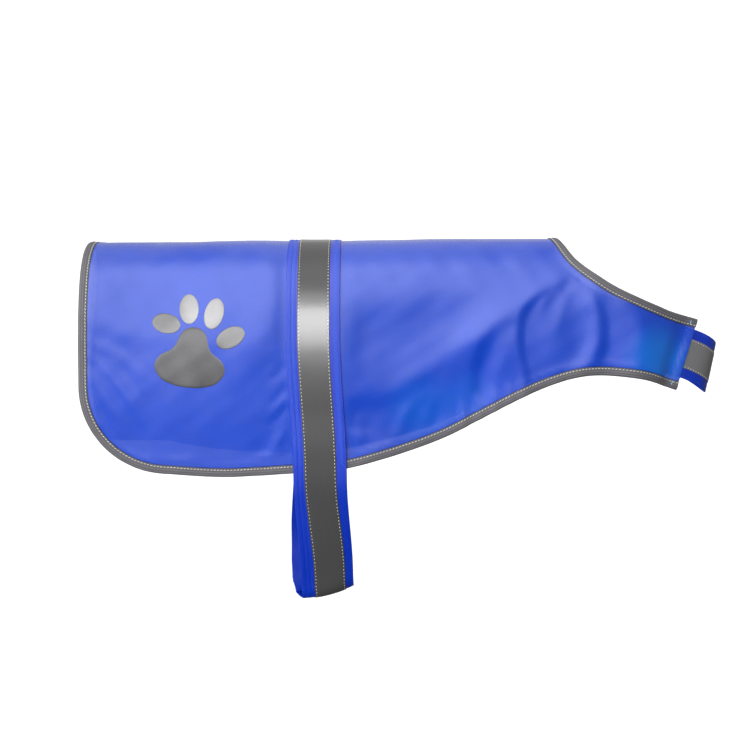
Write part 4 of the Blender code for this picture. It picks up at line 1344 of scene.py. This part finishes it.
def band_stitches(material):
    """The overlocked edges that sew the belly band to the cloth, and the chest band's rows."""
    top = BAND_THICK - THREAD_SINK
    ends = (-CHEST_SEAM + ROW_END, CHEST_LEFT + CHEST_OVERLAP - TAPE_END)
    rows = [row_on_strip(chest_point, ends, across, top) for across in CHEST_ROWS]
    pieces = [stitches("chest_band_stitches", rows, material, CHEST_STITCH)]
    for number, (across, length) in enumerate(OVERLOCK, 1):
        row = row_on_strip(band_point, (-OVERLOCK_END, OVERLOCK_END), across, top, OVERLOCK_PITCH)
        pieces.append(stitches(f"overlock_{number}", [slanted(row, OVERLOCK_SLANT)], material,
                               (length, *OVERLOCK_SIZE)))
    return pieces


# ======== The studio ========

# All in metres, radians where nothing else is said, and watts.
FLOOR_HEIGHT = -0.5
FLOOR_RADII = (0.001, 1.5, 3.0)
WALL_CURVE = 1.5              # the radius in which the floor curves up
WALL_STEPS = 12
WALL_HEIGHT = 6.0
STUDIO_SIDES = 96
STUDIO_GREYS = (0.34, 0.34, 0.34), (0.36, 0.36, 0.36)
STUDIO_GLOW = 0.75
FILL_LOW = 0.05               # the even fill seen low down
FILL = 0.12                   # and higher up
FILL_EDGE = (math.radians(-26), math.radians(-11))
GLOW_EDGE = (math.radians(-21), math.radians(13))
GLOW_ROUND = 0.1              # the glow from everywhere above that edge
FRONT_GLOW = (
    # direction, where the glow starts, where it is full, its strength
    ((-0.478, -0.765, 0.43), 0.3, 1.0, 2.5),
)
OVERHEAD_GLOW = (
    # the same columns
    ((0, 0, 1), 0.6, 1.0, 1.0),
    ((0, 1, 0), 0.3, 0.9, 0.6),
)
OVERHEAD_REACH = 0.38         # how far it reaches along the vest
FILL_SIZE = (2.0, 2.0)
FILL_DISTANCE = 2.5
FILL_MIDDLE = (0.05, 0, -0.12)
FILL_LIGHTS = (
    # name, elevation in degrees, degrees towards the dog's rear, watts
    ("low_fill", -35, 20, 49),
    ("side_fill", 4, 62, 28),
    ("top_fill", 80, 0, 14),
)
BOX_DISTANCE = 2.4            # of the long soft boxes that only the reflective pieces mirror
BOX_MIDDLE = (0.03, 0, -0.09)
BOX_WIDTH = 3.0
BOX_LEFT = -0.1
BOX_LIGHTS = (
    # name, elevation in degrees, height, watts
    ("strip_low", 8.2, 0.66, 195),
    ("strip_high", 18, 1.0, 75),
)
CAMERA_PLACE = (0.0508, -1.437, -0.1155)
CAMERA_LENS = 78.8            # in millimetres,
CAMERA_SENSOR = 36            # as is its sensor's width
CAMERA_RANGE = (0.05, 50)     # the nearest and the furthest that it sees


def backdrop():
    """A round white studio: a floor that curves up into a wall all round."""
    profile = [(radius, FLOOR_HEIGHT) for radius in FLOOR_RADII]
    for step in range(1, WALL_STEPS + 1):
        angle = math.pi / 2 * step / WALL_STEPS
        profile.append((FLOOR_RADII[-1] + WALL_CURVE * math.sin(angle),
                        FLOOR_HEIGHT + WALL_CURVE * (1 - math.cos(angle))))
    profile.append((FLOOR_RADII[-1] + WALL_CURVE, WALL_HEIGHT))
    turns = [2 * math.pi * i / STUDIO_SIDES for i in range(STUDIO_SIDES)]
    points = [(radius * math.cos(turn) / MM, radius * math.sin(turn) / MM, height / MM)
              for radius, height in profile for turn in turns]
    faces = ring_faces(len(profile), STUDIO_SIDES) + [tuple(range(STUDIO_SIDES))]
    nodes = Nodes("studio_white")
    grain = nodes.noise(nodes.node("ShaderNodeTexCoord").outputs["Object"], 4, 2)
    nodes.set(Base_Color=nodes.mix(grain, *STUDIO_GREYS), Roughness=1.0, Specular_IOR_Level=0.0,
              Emission_Color=(1, 1, 1, 1), Emission_Strength=STUDIO_GLOW)
    floor = make_piece("studio", points, faces, nodes.material)
    floor.visible_diffuse = False
    floor.visible_glossy = False
    floor.visible_shadow = False


def glow_round(nodes, way, directions, least):
    """How brightly the studio glows each way round the given directions."""
    glow = least
    for direction, low, high, share in directions:
        towards = nodes.node("ShaderNodeVectorMath", {0: way, 1: direction}, operation="DOT_PRODUCT")
        glow = nodes.scaled(nodes.ramp(towards.outputs["Value"], low, high), share, glow)
    return glow


def studio_light():
    """A large soft glow in front of the vest and above it, over an even fill."""
    world = bpy.data.worlds.new("studio")
    nodes = Nodes("studio", world)
    way = nodes.node("ShaderNodeTexCoord").outputs["Generated"]
    split = nodes.node("ShaderNodeSeparateXYZ", {0: way})
    height = nodes.math("ARCSINE", split.outputs[2])
    aside = nodes.math("ABSOLUTE", split.outputs[0])
    overhead = glow_round(nodes, way, OVERHEAD_GLOW, 0.0)
    overhead = nodes.math("MULTIPLY", overhead, nodes.ramp(aside, OVERHEAD_REACH, 0.0))
    glow = nodes.math("ADD", glow_round(nodes, way, FRONT_GLOW, GLOW_ROUND), overhead)
    fill = nodes.scaled(nodes.ramp(height, *FILL_EDGE), FILL - FILL_LOW, FILL_LOW)
    nodes.set(Strength=nodes.scaled(glow, nodes.ramp(height, *GLOW_EDGE), fill), Color=(1, 1, 1, 1))
    bpy.context.scene.world = world


def soft_box(name, size, watts, middle, way, distance):
    """An area light that shines back along way onto the middle."""
    data = bpy.data.lights.new(name, "AREA")
    data.shape = "RECTANGLE"
    data.size, data.size_y = size
    data.energy = watts
    light = in_scene(name, data)
    light.location = Vector(middle) + way * distance
    light.rotation_euler = way.to_track_quat("Z", "Y").to_euler()
    light.visible_camera = False
    return light


def box_light(name, elevation, height, watts, receivers):
    """A long low soft box in front that only the reflective pieces mirror."""
    angle = math.radians(elevation)
    way = Vector((BOX_LEFT, -math.cos(angle), math.sin(angle))).normalized()
    light = soft_box(name, (BOX_WIDTH, height), watts, BOX_MIDDLE, way, BOX_DISTANCE)
    light.visible_diffuse = False
    light.light_linking.receiver_collection = receivers


def fill_light(name, elevation, aside, watts):
    """A wide soft light without a mirror image in the cloth."""
    angle, turn = math.radians(elevation), math.radians(aside)
    level = math.cos(angle)
    way = Vector((-level * math.sin(turn), -level * math.cos(turn), math.sin(angle)))
    soft_box(name, FILL_SIZE, watts, FILL_MIDDLE, way, FILL_DISTANCE).visible_glossy = False


def reflective_light(pieces):
    receivers = bpy.data.collections.new("reflective_pieces")
    for piece in pieces:
        receivers.objects.link(piece)
    for name, elevation, height, watts in BOX_LIGHTS:
        box_light(name, elevation, height, watts, receivers)


def camera():
    data = bpy.data.cameras.new("camera")
    data.lens = CAMERA_LENS
    data.sensor_width = CAMERA_SENSOR
    data.clip_start, data.clip_end = CAMERA_RANGE
    made = in_scene("camera", data)
    made.location = CAMERA_PLACE
    made.rotation_euler = (math.pi / 2, 0, 0)
    bpy.context.scene.camera = made


BAND_PARTS = (
    # slot, the end of the node's name
    ("webbing", "band"), ("reflective_tape", "tape"), ("fastener", "loop"), ("fastener", "hook"),
)


def settle(piece, slot, *nodes):
    """Attach a piece to the root and hide the CAD nodes that it replaces; the slot, its finish, is not
    used.
    """
    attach(piece, "root")
    if nodes:
        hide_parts(*nodes)
    return piece


def main():
    bpy.context.scene.view_settings.view_transform = "Standard"
    camera()
    studio_light()
    for light in FILL_LIGHTS:
        fill_light(*light)
    backdrop()
    webbing = webbing_material()
    tape, lit_chest_tape, pad_film, lit_toe_film = [reflective_material(*film) for film in FILMS]
    soft, hooks = [pad_material(*fastener) for fastener in FASTENERS]
    grey = binding_material()
    cream, blue, pale = [thread_material(*thread) for thread in THREADS]

    panel = settle(vest_cloth(cloth_material()), "vest_cloth", "main_panel")
    hem = settle(binding("hem_bias_tape", HEM, HEM_INWARDS, grey), "binding", "hem_binding")
    neck = settle(binding("neck_bias_tape", NECK, NECK_INWARDS, grey), "binding", "neck_binding")
    belly, *on_belly = belly_band(webbing, tape, soft, hooks)
    chest, *on_chest = chest_band(webbing, lit_chest_tape, soft, hooks)
    for band, pieces in (("belly", (belly, *on_belly)), ("chest", (chest, *on_chest))):
        for piece, (slot, part) in zip(pieces, BAND_PARTS):
            settle(piece, slot, f"{band}_{part}")
    prints = paw_print(pad_film, lit_toe_film)
    for piece, node in zip(prints, ("paw_pad", "paw_toe_1", "paw_toe_2", "paw_toe_3", "paw_toe_4")):
        settle(piece, "paw_print", node)
    reflective_light([on_belly[0], on_chest[0], *prints])
    edge_thread = settle(binding_stitches(cream), "binding")
    tape_thread, chest_tape_thread = [settle(piece, "reflective_tape") for piece in tape_stitches(cream)]
    chest_thread, *band_threads = [settle(piece, "webbing") for piece in band_stitches(blue)]
    front_thread = settle(front_stitches(blue), "vest_cloth")
    corner_thread = settle(tacks(pale), "binding")


main()
